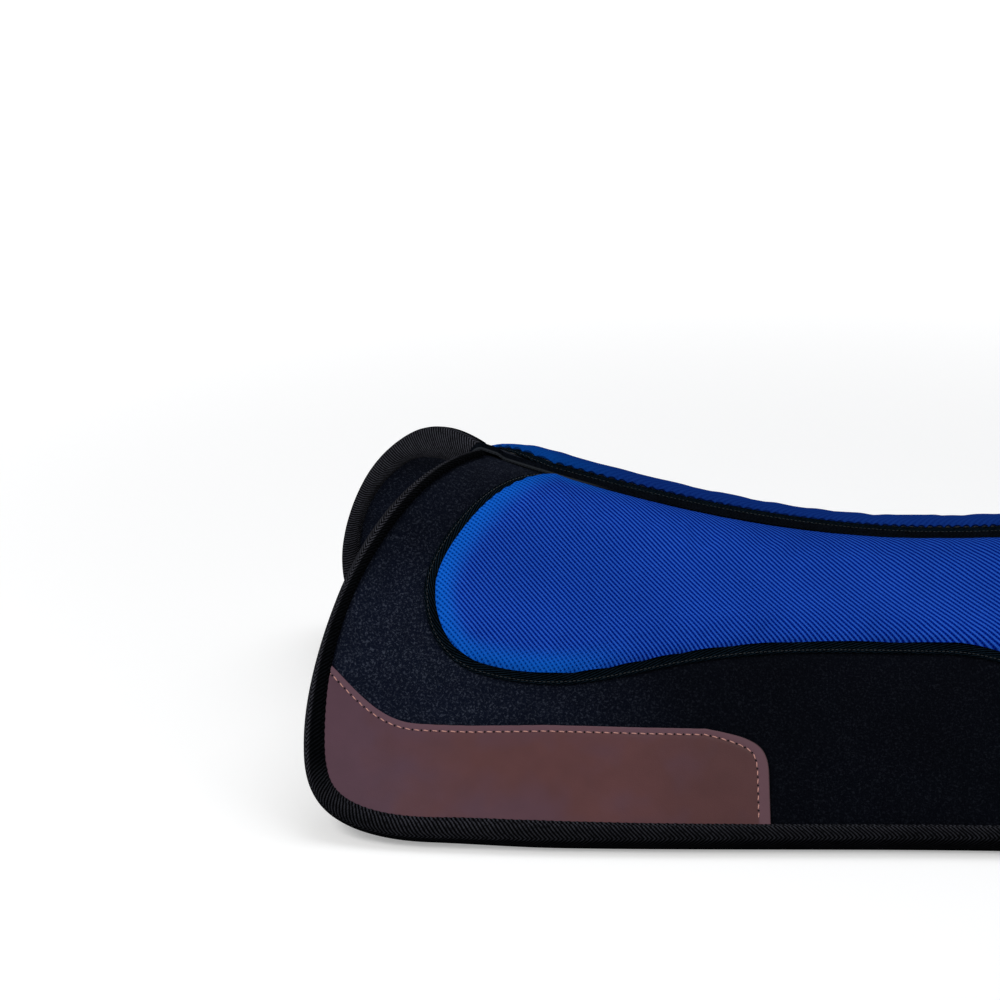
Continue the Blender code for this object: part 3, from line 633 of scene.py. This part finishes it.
flats = (1.0, 0.95, 0.88, 0.82, 0.75, 0.62, 0.45, 0.28, 0.12)
fold = [(NOSE + share * reach, fold_height(share)) for share in flats]
for angle in np.radians(np.linspace(90, 270, 15)):
    fold.append(
        (NOSE + (NOSE - drawn) * math.cos(angle), np.full(len(rim), BINDING_HALF * math.sin(angle))))
fold += [(NOSE + share * reach, -fold_height(share)) for share in flats[::-1]]
sections = []
for inner, height in fold:
    moved = inset(rim, inner + 0.0007 * pull * (inner > NOSE + 0.97 * reach))
    sections.append(over(moved, height - THICKNESS / 2))
    sections[-1][:, 2] = np.maximum(sections[-1][:, 2], 0.0)
for name, side in SIDES:
    binding = strip(f"{name}_edge_tape", sections, side)
    if side > 0:
        edit(binding, bpy.ops.mesh.flip_normals)
    thicken(binding, TAPE)
    finish(binding, f"{name}_side", "tape", binding_surface, f"{name}_edge_binding")

# Seam threads: each stitch is a short bent capsule of thread whose ends dive into the cloth.
bpy.ops.object.select_all(action="DESELECT")
bpy.ops.mesh.primitive_uv_sphere_add(segments=6, ring_count=6, radius=0.5)
bead = bpy.context.object
BEAD = np.array([[v.co.z, v.co.x, v.co.y] for v in bead.data.vertices])
BEAD_FACES = [tuple(f.vertices) for f in bead.data.polygons]
bpy.data.objects.remove(bead)


def thread_surface(name, colour, shine):
    """Twisted polyester thread."""
    made, tree, shader = surface(name, 0.5, Sheen_Weight=shine, Sheen_Roughness=0.3)
    shader.inputs["Specular IOR Level"].default_value = 0.10
    spot = spot_in(tree)
    fuzz = use(tree, FIBRE, Vector=spot, Scale=1200.0)
    paint(tree, shader, blend(tree, fuzz["Fleck"], colour, [c * 0.55 for c in colour]))
    relief(tree, shader, fuzz["Height"], 0.4, 0.0003)
    return made


def sew(name, row_name, line, height, side, pitch, size, slot, colour, start=0.5, slant=0.0):
    """A row of stitches along a line of (x, s), as one piece. size is a stitch's length, width and rise."""
    place = over(line, height) * [1, side, 1]
    _, _, _, normal = face_frame(line[:, 0], line[:, 1])
    normal = normal * [1, side, 1] * (1 if size[2] > 0 else -1)
    length = travelled(place)
    points, faces = [], []
    for at in np.arange(start * pitch, length[-1] - pitch / 4, pitch):
        at_seam = ((place, at), (normal, at), (place, at + 1e-3))
        centre, up, ahead = (points_at(d, length, v) for v, d in at_seam)
        ahead = ahead - centre
        ahead /= np.linalg.norm(ahead)
        up -= ahead * (up @ ahead)
        up /= np.linalg.norm(up)
        ahead = ahead * math.cos(slant) + np.cross(up, ahead) * math.sin(slant)
        local = BEAD * [size[0], size[1], abs(size[2])]
        local[:, 2] -= 3.0 * abs(size[2]) * (BEAD[:, 0] ** 2)
        base = len(points)
        points += list(centre + local @ np.stack([ahead, np.cross(up, ahead), up]))
        faces += [tuple(base + k for k in f) for f in BEAD_FACES]
    full_name = f"{name}_{row_name}"
    row = bpy.data.objects.new(full_name, bpy.data.meshes.new(full_name))
    row.data.from_pydata([tuple(p) for p in points], [], faces)
    bpy.context.scene.collection.objects.link(row)
    edit(row, lambda: bpy.ops.mesh.normals_make_consistent(inside=False))
    finish(row, f"{name}_side", slot, colour)


black_thread = thread_surface("black_thread", (0.030, 0.032, 0.034), 0.0)
seam_line = inset(rim, NOSE + SEAM_SHARE * reach)
STITCH_HEIGHT, FRONT_STITCH, BACK_STITCH = 0.0026, (0.0050, 0.0012, 0.0010), (0.0056, 0.0010, -0.0008)
for name, side in SIDES:
    sew(
        name, "binding_stitches", seam_line, STITCH_HEIGHT, side, STITCH_PITCH, FRONT_STITCH, "tape",
        black_thread, 1.0)
    sew(
        name, "binding_back_stitches", seam_line, -THICKNESS - STITCH_HEIGHT, side, STITCH_PITCH,
        BACK_STITCH, "tape", black_thread, 1.0)

# Cushions: a kidney of blue spacer mesh over foam on each side, crowned by the foam that presses it out.
# The foam's crown is drawn, and a cloth simulation of the sewn cover adds the wrinkles, up to 0.7 mm high.
CROWN_RIM, COVER, FARTHEST, WRINKLE = 0.0026, 0.0022, 0.0035, 0.0007
CUSHION_ROWS, CUSHION_COLUMNS = 110, 300


def kidney_grid(rows, columns):
    """A grid of (x, s) that fills the cushion's kidney."""
    long_sides = spread(kidney_top, columns), spread(kidney_bottom, columns)
    grid = patch(*long_sides, spread(kidney_front, rows), spread(kidney_rear, rows))
    for _ in range(150):
        grid[1:-1, 1:-1] = (grid[:-2, 1:-1] + grid[2:, 1:-1] + grid[1:-1, :-2] + grid[1:-1, 2:]) / 4
    return grid


def crown(grid):
    """The foam's own height over a grid: from the sewn rim up to a broad top, fullest in front."""
    full = np.interp(grid[..., 0], (-0.15, -0.02, 0.08, 0.14), (0.0151, 0.0127, 0.0122, 0.0136))
    width = np.interp(grid[..., 0], (-0.17, -0.10, 0.0, 0.10), (0.030, 0.036, 0.034, 0.022))
    share = np.clip(apart(grid, even_loop(KIDNEY, 700)[0]) / width, 0, 1)
    return CROWN_RIM + (full - CROWN_RIM) * (1 - (1 - share) ** 2.2) ** 0.45


def stuffed(name, grid, low, rise, side):
    """A closed form that stands on the face at height low and rises by an amount that varies."""
    form = lay(name, grid, low, side)
    group = form.vertex_groups.new(name="rise")
    for k, weight in enumerate(rise.ravel() / rise.max()):
        group.add([k], float(weight), "REPLACE")
    modify(form, "SOLIDIFY", thickness=float(rise.max()), offset=1, vertex_group="rise")
    return form


def smoothed(values, passes):
    """A grid of values, blurred."""
    rows, columns = values.shape
    for _ in range(passes):
        wide = np.pad(values, 1, mode="edge")
        values = sum(
            wide[1 + a : 1 + a + rows, 1 + b : 1 + b + columns] for a in (-1, 0, 1) for b in (-1, 0, 1)) / 9
    return values


def heights_of(points, faces, place, normal):
    """Height of a shape over each place on the face, and 0 where there is none."""
    tree = BVHTree.FromPolygons([Vector(p) for p in points], faces)
    found = np.zeros(len(place))
    for k, (point, up) in enumerate(zip(place, normal)):
        hit, _, _, distance = tree.ray_cast(Vector(point + up * 0.05), Vector(-up), 0.06)
        if hit:
            found[k] = 0.05 - distance
    return found


def nearest_in(points):
    """A tree that finds the nearest of some points."""
    found = kdtree.KDTree(len(points))
    for k, point in enumerate(points):
        found.insert(point, k)
    found.balance()
    return found


def pressed_out(grid, rise):
    """The drawn rise over a fine grid, with the wrinkles of a simulated cover that its foam blows up."""
    coarse = kidney_grid(26, 66)
    form = stuffed("cushion_form", coarse, SEAT_GAP, crown(coarse), 1)
    form.data.remesh_voxel_size = 0.0055
    bpy.ops.object.voxel_remesh()
    base = over(coarse.reshape(-1, 2), SEAT_GAP)
    outline = even_loop(KIDNEY, 400)[0]
    rim_tree = nearest_in(over(outline, SEAT_GAP))
    floor_tree = nearest_in(base)
    normals = face_frame(coarse[..., 0].ravel(), coarse[..., 1].ravel())[3]
    pins = form.vertex_groups.new(name="pins")
    for vertex in form.data.vertices:
        _, k, _ = floor_tree.find(vertex.co)
        height = float((np.array(vertex.co) - base[k]) @ normals[k])
        if height < 0.0022 or rim_tree.find(vertex.co)[2] < 0.0055:
            pins.add([vertex.index], 1.0, "REPLACE")
    start = np.array([v.co for v in form.data.vertices])
    cloth = form.modifiers.new("cloth", "CLOTH")
    mesh_cloth = dict(
        vertex_group_mass="pins", quality=5, mass=0.3, tension_stiffness=12, compression_stiffness=12,
        shear_stiffness=5, bending_stiffness=0.4, shrink_min=-0.02, use_pressure=True,
        uniform_pressure_force=4)
    for key, value in mesh_cloth.items():
        setattr(cloth.settings, key, value)
    cloth.settings.effector_weights.gravity = 0
    for number in range(1, 21):
        bpy.context.scene.frame_set(number)
    graph = bpy.context.evaluated_depsgraph_get()
    blown = form.evaluated_get(graph).to_mesh()
    end = np.array([v.co for v in blown.vertices])
    moved = end - start
    far = np.linalg.norm(moved, axis=1, keepdims=True)
    moved *= np.minimum(1, FARTHEST / np.maximum(far, 1e-9))
    faces = [tuple(f.vertices) for f in blown.polygons]
    bpy.context.scene.frame_set(1)
    bpy.data.objects.remove(form)
    flat = grid.reshape(-1, 2)
    place, _, _, normal = face_frame(flat[:, 0], flat[:, 1])
    gain = heights_of(start + moved, faces, place, normal) - heights_of(start, faces, place, normal)
    fine_gain = smoothed(gain.reshape(rise.shape), 8)
    wrinkles = np.clip(fine_gain - smoothed(fine_gain, 70), -WRINKLE, WRINKLE)
    return rise + SEAT_GAP + wrinkles * np.clip(apart(grid, outline) / 0.012, 0, 1)


fine = kidney_grid(CUSHION_ROWS, CUSHION_COLUMNS)
rise = crown(fine)
puffed = pressed_out(fine, rise)

MESH, given, out = effect(
    "spacer_mesh", {"Vector": "Vector", "Pitch": "Float", "Hole": "Float"},
    {"Ridge": "Float", "Hole": "Float", "Height": "Float"})
parts = parts_of(MESH, given[0])
line_at = maths(MESH, "DIVIDE", parts[1], given[1])
ridge = maths(MESH, "ADD", times(MESH, maths(MESH, "COSINE", times(MESH, line_at, 2 * math.pi)), 0.5), 0.5)
along_row = maths(MESH, "DIVIDE", parts[0], given[2])
row_shift = times(MESH, maths(MESH, "FLOOR", line_at), 0.5)
hole_wave = maths(MESH, "COSINE", times(MESH, maths(MESH, "ADD", along_row, row_shift), 2 * math.pi))
valley = span(MESH, ridge, 0.5, 0.05)
hole = times(MESH, valley, span(MESH, hole_wave, -0.2, 0.7))
loops = maths(MESH, "COSINE", times(MESH, along_row, 4 * math.pi))
MESH.links.new(ridge, out[0])
MESH.links.new(hole, out[1])
tops = maths(MESH, "ADD", ridge, times(MESH, times(MESH, loops, ridge), 0.20))
MESH.links.new(maths(MESH, "SUBTRACT", tops, times(MESH, hole, 0.6)), out[2])

blue, tree, shader = surface("blue_spacer_mesh", 0.55, Specular_IOR_Level=0.0)
cloth_place = cloth_in(tree)
turned = node(tree, "Mapping", {"Vector": cloth_place, "Rotation": (0, 0, math.radians(-41))}).outputs[0]
knit = use(tree, MESH, Vector=turned, Pitch=0.0041, Hole=0.0030)
spot = spot_in(tree)
clouds = use(tree, CLOUD, Vector=spot, Scale=12.0, Amount=0.35)
yarn = use(tree, FIBRE, Vector=spot, Scale=420.0)
parts = parts_of(tree, spot)
rim = node(tree, "Attribute", attribute_name="rim").outputs["Fac"]
# Painted shade: the right-hand cushion's crest next to the spine is painted darker, as its side in shade.
painted_shade_far_crest = times(tree, span(tree, parts[1], 0.0, 0.02), span(tree, parts[1], 0.14, 0.06))
# Painted highlight: the band along the front rim, lit from the front.
painted_lit_front_rim = times(tree, span(tree, rim, 0.026, 0.004), span(tree, parts[0], -0.16, -0.26))
lit = span(tree, maths(tree, "ADD", knit["Ridge"], times(tree, yarn["Fleck"], 0.18)), 0.12, 1.05)
# How far the knit's painted ridge-and-hole shading and its bumps are flattened: most on the shaded
# right-hand crest, as seen there at a low angle, and a little at the front rim, where the cover is
# stretched smooth.
smooth = times(tree, maths(tree, "MAXIMUM", painted_shade_far_crest, times(tree, painted_lit_front_rim, 0.25)), 0.8)
lit = maths(tree, "ADD", lit, times(tree, maths(tree, "SUBTRACT", 0.55, lit), smooth))
base = blend(tree, lit, (0.0000, 0.013, 0.25), (0.020, 0.104, 0.56))
# Painted highlight: the mesh is painted a lighter azure along its front rim.
base = blend(tree, times(tree, painted_lit_front_rim, 0.55), base, (0.0000, 0.135, 0.66))
open_weave = maths(tree, "ADD", 0.75, times(tree, span(tree, rim, 0.018, 0.006), 0.25))
hole = times(tree, knit["Hole"], maths(tree, "SUBTRACT", open_weave, smooth), clamp=True)
# Painted shade: the knit's holes are painted dark blue, as the shade down in them.
base = blend(tree, hole, base, (0.0000, 0.006, 0.13))
# Painted shade: darker near the spine on both cushions, and darker still on the right-hand crest.
crest_shade = span(tree, maths(tree, "ABSOLUTE", parts[1]), 0.03, 0.09, 0.80, 1.0)
crest_shade = times(tree, crest_shade, maths(tree, "SUBTRACT", 1.0, times(tree, painted_shade_far_crest, 0.50)))
paint(tree, shader, shaded(tree, base, times(tree, clouds["Shade"], crest_shade)))
bumps = times(tree, knit["Height"], maths(tree, "SUBTRACT", 1.0, smooth))
relief(tree, shader, bumps, 0.7, 0.0012)

for name, side in SIDES:
    cushion = lay(f"{name}_cushion_cover", fine, puffed, side)
    band = cushion.data.attributes.new("rim", "FLOAT", "POINT")
    band.data.foreach_set("value", apart(fine, even_loop(KIDNEY, 700)[0]).ravel().astype(np.float32))
    thicken(cushion, COVER)
    finish(cushion, f"{name}_side", "mesh", blue, f"{name}_mesh_insert")
    inside = puffed[4:-4:4, 4:-4:4] - COVER - 0.0004 - SEAT_GAP
    filling = stuffed(f"{name}_cushion_foam", fine[4:-4:4, 4:-4:4], SEAT_GAP, inside, side)
    finish(filling, f"{name}_side", "foam", foam, f"{name}_insert_foam")

# Cushion tapes: black bias tape folded over the cushion's rim and down on the felt, sewn near its edge.
TAPE_SECTION = (
    (-0.0006, 0.0043), (-0.0002, 0.0047), (0.0006, 0.0046), (0.0018, 0.0041),
    (0.0034, 0.0034), (0.0050, 0.0028), (0.0064, 0.0022), (0.0075, 0.0016),
    (0.0086, 0.0021), (0.0095, 0.0018), (0.0100, 0.0004))
loop, loop_length = even_loop(KIDNEY, 860)
tuck = 0.00008 * np.sin(np.arange(860) * 2 * math.pi / 7) ** 2 * np.sin(np.arange(860) * 0.21) ** 2
sections = []
for outward, height in TAPE_SECTION:
    moved = inset(loop, -outward, closed=True)
    sections.append(over(moved, height + tuck))
rim_surface = tape_surface(
    "cushion_tape", 0.0085, 0.0024, -1.0, (0.0008, 0.0016, 0.0025), (0.0001, 0.0002, 0.0005), 0.0)[0]
CUSHION_TAPE, CUSHION_PITCH = 0.0010, 0.0042
for name, side in SIDES:
    tape = strip(f"{name}_cushion_tape", sections, side, closed=True)
    edit(tape, lambda: bpy.ops.mesh.normals_make_consistent(inside=False))
    if tape.data.polygons[len(tape.data.polygons) // 2].normal.z < 0:
        edit(tape, bpy.ops.mesh.flip_normals)
    thicken(tape, CUSHION_TAPE)
    finish(tape, f"{name}_side", "tape", rim_surface, f"{name}_insert_binding")
    seam = inset(loop, -TAPE_SEAM, closed=True)
    seam = np.concatenate([seam, seam[:1]])
    sew(
        name, "cushion_stitches", seam, 0.0021, side, CUSHION_PITCH, (0.0031, 0.0008, 0.0006), "tape",
        black_thread)
    sew(
        name, "lining_stitches", seam, -THICKNESS + 0.0013, side, CUSHION_PITCH, (0.0031, 0.0008, -0.0006),
        "tape", black_thread)

# Wear leathers: a smooth chrome-tanned hide patch along each side's lower front, under the cinch rigging.
# Its margin outside the stitches is lighter, a thin painted shadow runs along its top and rear edges, and
# it is sewn along the top and the rear with tan thread in punched holes.
LEATHER_TOP, LEATHER_THICK, LEATHER_SWELL, STITCH_RISE = 0.002, 0.0023, 0.00025, 0.0002
long_edges = spread(leather_top, 180), spread(leather_bottom, 180)
leather_grid = patch(*long_edges, spread(leather_front, 46), spread(leather_rear, 46))
sewn_edge = spread(leather_edge, 400)
rear_share = np.clip((sewn_edge[:, 0] - LEATHER_END + CORNER_RUN) / CORNER_RUN, 0, 1)
MARGIN, REAR_MARGIN = 0.0062, 0.0048
margin = MARGIN + REAR_MARGIN * rear_share**1.5
stitch_line = inset(sewn_edge, -margin)[:-6]
leather_top_height = 0.0026 + pressed(leather_grid, stitch_line, 0.0005, 0.0016)
leather_top_height += unevenness(leather_grid, LEATHER_SWELL)

hide, tree, shader = surface("brown_leather", 0.36, Coat_Weight=0.03, Coat_Roughness=0.30)
shader.inputs["Specular IOR Level"].default_value = 0.12
spot = spot_in(tree)
mottle = node(tree, "TexNoise", {"Vector": spot, "Scale": 9.0, "Detail": 3, "Roughness": 0.55}).outputs[0]
station = parts_of(tree, spot)[0]
# Random mottle, and a bluer, purpler tone towards the front that is a painted reflection of the bluish
# light there.
mottle_and_painted_sheen = maths(
    tree, "ADD", span(tree, mottle, 0.36, 0.64), span(tree, station, -0.28, -0.46, -0.25, 0.7), clamp=True)
dye_and_painted_light = blend(tree, mottle_and_painted_sheen, (0.092, 0.036, 0.037), (0.084, 0.041, 0.058))
clouds = use(tree, CLOUD, Vector=spot, Scale=38.0, Amount=0.25)
# Painted shade: darker towards the rear, as the light falls off there; the slow clouds are random tone.
dye_and_painted_light = shaded(tree, dye_and_painted_light, times(tree, clouds["Shade"], span(tree, station, -0.20, -0.08, 1.0, 0.80)))
rim_band = node(tree, "Attribute", attribute_name="rim").outputs["Fac"]
dye_and_painted_light = blend(tree, times(tree, span(tree, rim_band, 1.10, 0.86), 0.62), dye_and_painted_light, (0.130, 0.069, 0.090))
# Painted shadow: a thin dark line along the top and rear edges, for the gap to the felt.
dye_and_painted_light = blend(tree, span(tree, rim_band, 0.15, 0.03), dye_and_painted_light, (0.022, 0.010, 0.009))
paint(tree, shader, dye_and_painted_light)
pores = node(tree, "TexVoronoi", {"Vector": spot, "Scale": 850.0}, feature="SMOOTH_F1").outputs[0]
creases = node(tree, "TexNoise", {"Vector": spot, "Scale": 60.0, "Detail": 4, "Distortion": 1.2}).outputs[0]
grain = relief(tree, shader, pores, 0.16, 0.0004)
relief(tree, shader, creases, 0.12, 0.0012, grain)
tree.links.new(span(tree, creases, 0.3, 0.7, 0.33, 0.42), shader.inputs["Roughness"])
tan_thread = thread_surface("tan_thread", (0.60, 0.31, 0.26), 0.05)
# Painted shade: dark beads at the punched holes stand for the shade inside them.
hole_shade = thread_surface("stitch_hole_shade", (0.004, 0.0015, 0.002), 0.0)
edge_place = over(sewn_edge, LEATHER_TOP)
LEATHER_PITCH, LEATHER_STITCH, LEATHER_HOLE = 0.0087, (0.0074, 0.0012, 0.0011), (0.0024, 0.0024, 0.0012)
for name, side in SIDES:
    leather = lay(f"{name}_leather_patch", leather_grid, leather_top_height, side)
    thicken(leather, LEATHER_THICK)
    modify(leather, "BEVEL", width=0.0006, segments=3, limit_method="ANGLE", angle_limit=math.radians(50))
    where = np.array([v.co for v in leather.data.vertices]) * [1, side, 1]
    parts = np.array_split(where, 40)
    shares = [np.linalg.norm(part[:, None] - edge_place[None], axis=2) / margin for part in parts]
    band = leather.data.attributes.new("rim", "FLOAT", "POINT")
    band.data.foreach_set("value", np.concatenate([share.min(1) for share in shares]).astype(np.float32))
    finish(leather, f"{name}_side", "leather", hide, f"{name}_wear_leather")
    thread_height = 0.0021 + unevenness(stitch_line, LEATHER_SWELL) + STITCH_RISE
    sew(name, "leather_stitches", stitch_line, thread_height, side, LEATHER_PITCH, LEATHER_STITCH,
        "leather", tan_thread, slant=0.11 * side)
    # Dark beads of painted shade in the punched holes.
    sew(name, "leather_hole_shade", stitch_line, thread_height, side, LEATHER_PITCH, LEATHER_HOLE,
        "leather", hole_shade, 0.0)

# Spine strap and liner: webbing that joins the two sides over the channel, on top and underneath.
# Each is made in two halves that meet on the spine, each laid over its own side's face.
STRAP_HALF, STRAP_UP, STRAP_NOSE, WEBBING = 0.010, 0.0036, 0.0089, 0.0016
x_front = float(np.interp(STRAP_HALF, front_edge[:, 1], front_edge[:, 0])) + NOSE
x_rear = float(np.interp(STRAP_HALF, rear_edge[:, 1], rear_edge[:, 0])) - NOSE
bend = np.radians(np.linspace(-90, 90, 19))[:, None]
loop_half, loop_middle = STRAP_UP + THICKNESS / 2, -THICKNESS / 2
front_turn = np.concatenate(
    [x_front - STRAP_NOSE * np.cos(bend), loop_middle + loop_half * np.sin(bend)], 1)
rear_turn = np.concatenate(
    [x_rear + STRAP_NOSE * np.cos(bend), loop_middle + loop_half * np.sin(bend)], 1)[::-1]
first, last = x_front + 0.0129, x_rear - 0.0129
STEP_RUN, EASE = 0.012, [0.005, 0]
step_down = bezier([first, STRAP_UP], EASE, EASE, [first + STEP_RUN, SEAT_GAP], 8)
step_up = bezier([last - STEP_RUN, SEAT_GAP], EASE, EASE, [last, STRAP_UP], 8)
level = np.linspace(first + STEP_RUN, last - STEP_RUN, 260)[1:-1]
top_run = np.stack([level, np.full(len(level), SEAT_GAP)], 1)
tucks = [[x_front + 0.045, -THICKNESS - STRAP_UP]], [[x_rear - 0.045, -THICKNESS - STRAP_UP]]
path = np.concatenate([tucks[0], front_turn, step_down, top_run, step_up, rear_turn, tucks[1]])
across = np.linspace(0, STRAP_HALF, 9)
webbing, tree, shader = tape_surface(
    "spine_webbing", 0.0034, 0.0030, 0.0, (0.0009, 0.0012, 0.0019), (0.0002, 0.0002, 0.0003), 0.0)
place = parts_of(tree, spot_in(tree))
# Painted highlight: a light band along the webbing's near edge over the front, as a shine on it.
painted_edge_highlight = times(tree, span(tree, place[0], -0.19, -0.235), span(tree, place[1], -0.003, -0.006), clamp=True)
woven = shader.inputs["Base Color"].links[0].from_socket
paint(tree, shader, blend(tree, times(tree, painted_edge_highlight, 0.8), woven, (0.030, 0.034, 0.040)))
travel = travelled(path)
liner_x = np.linspace(x_front + 0.046, x_rear - 0.046, 200)
for name, side in SIDES:
    strap_grid = np.stack(np.broadcast_arrays(path[None, :, 0], across[:, None]), -1)
    sag = -0.0008 * np.clip(1 - (across / 0.0075) ** 2, 0, 1)[:, None]
    strap_uv = np.stack(np.meshgrid(travel, across), -1)
    strap = lay(f"{name}_spine_webbing", strap_grid, path[None, :, 1] + sag, side, uv=strap_uv)
    thicken(strap, WEBBING, 1)
    finish(strap, None, "tape", webbing, "spine_strap")
    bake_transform(strap)
    liner_grid = np.stack(np.meshgrid(liner_x, across), -1)
    liner = lay(f"{name}_spine_lining_tape", liner_grid, -THICKNESS - SEAT_GAP, side, under=True)
    thicken(liner, WEBBING, 1)
    finish(liner, None, "tape", webbing, "spine_liner")
    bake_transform(liner)

# Studio: a plain pale floor, soft lamps and the camera, looking down a little on the left side.
scene = bpy.context.scene
bpy.ops.object.select_all(action="DESELECT")
bpy.ops.mesh.primitive_plane_add(size=60, location=(0, 0, -0.0005))
floor = bpy.context.object
floor.name = floor.data.name = "floor"


def seen_in(tree):
    """1 for rays that see the studio itself, straight or mirrored, and 0 for its light on the pad."""
    rays = node(tree, "LightPath").outputs
    mirrored = maths(tree, "MAXIMUM", rays["Is Glossy Ray"], rays["Is Transmission Ray"])
    return maths(tree, "MAXIMUM", rays["Is Camera Ray"], mirrored)


paper, tree, shader = surface("white_paper", 0.9, Base_Color=(0.80, 0.80, 0.80, 1))
spot = spot_in(tree)
distance = node(tree, "VectorMath", {0: spot}, operation="LENGTH").outputs["Value"]
haze = span(tree, distance, 0.7, 3.5, 0.31, 1.0)
glow = node(tree, "Emission", {"Color": (1, 1, 1, 1), "Strength": times(tree, seen_in(tree), haze)})
total = node(tree, "AddShader", {0: shader.outputs[0], 1: glow.outputs[0]})
tree.links.new(total.outputs[0], tree.nodes["Material Output"].inputs["Surface"])
floor.data.materials.append(paper)

world = bpy.data.worlds.new("studio")
scene.world = world
world.use_nodes = True
tree = world.node_tree
tree.links.new(
    maths(tree, "ADD", 0.32, times(tree, seen_in(tree), 0.68)), tree.nodes["Background"].inputs["Strength"])
tree.nodes["Background"].inputs["Color"].default_value = (0.98, 0.99, 1.0, 1)


def lamp(name, place, aim, size, power, colour):
    """A soft rectangular lamp."""
    data = bpy.data.lights.new(name, "AREA")
    data.shape, data.size, data.size_y, data.energy, data.color = "RECTANGLE", *size, power, colour
    made = bpy.data.objects.new(name, data)
    made.location = place
    made.rotation_euler = (Vector(aim) - Vector(place)).to_track_quat("-Z", "Y").to_euler()
    scene.collection.objects.link(made)


lamp("key_lamp", (-1.9, -1.5, 2.3), (-0.1, -0.1, 0.15), (1.6, 1.2), 42, (1.0, 0.99, 0.97))
lamp("top_lamp", (0.2, 0.3, 2.4), (0, 0, 0.2), (2.0, 1.6), 20, (0.95, 0.97, 1.0))
lamp("fill_lamp", (1.9, -2.2, 1.1), (0.1, -0.2, 0.15), (1.2, 1.2), 7, (0.96, 0.98, 1.0))

lens = bpy.data.cameras.new("camera")
lens.sensor_width = 36
lens.lens = 104.8
camera = bpy.data.objects.new("camera", lens)
camera.location = (-0.2381, -2.8163, 1.2114)
camera.rotation_euler = (math.radians(90 - 18.89), 0, math.radians(1.46))
scene.collection.objects.link(camera)
scene.camera = camera
scene.view_settings.view_transform = "Standard"
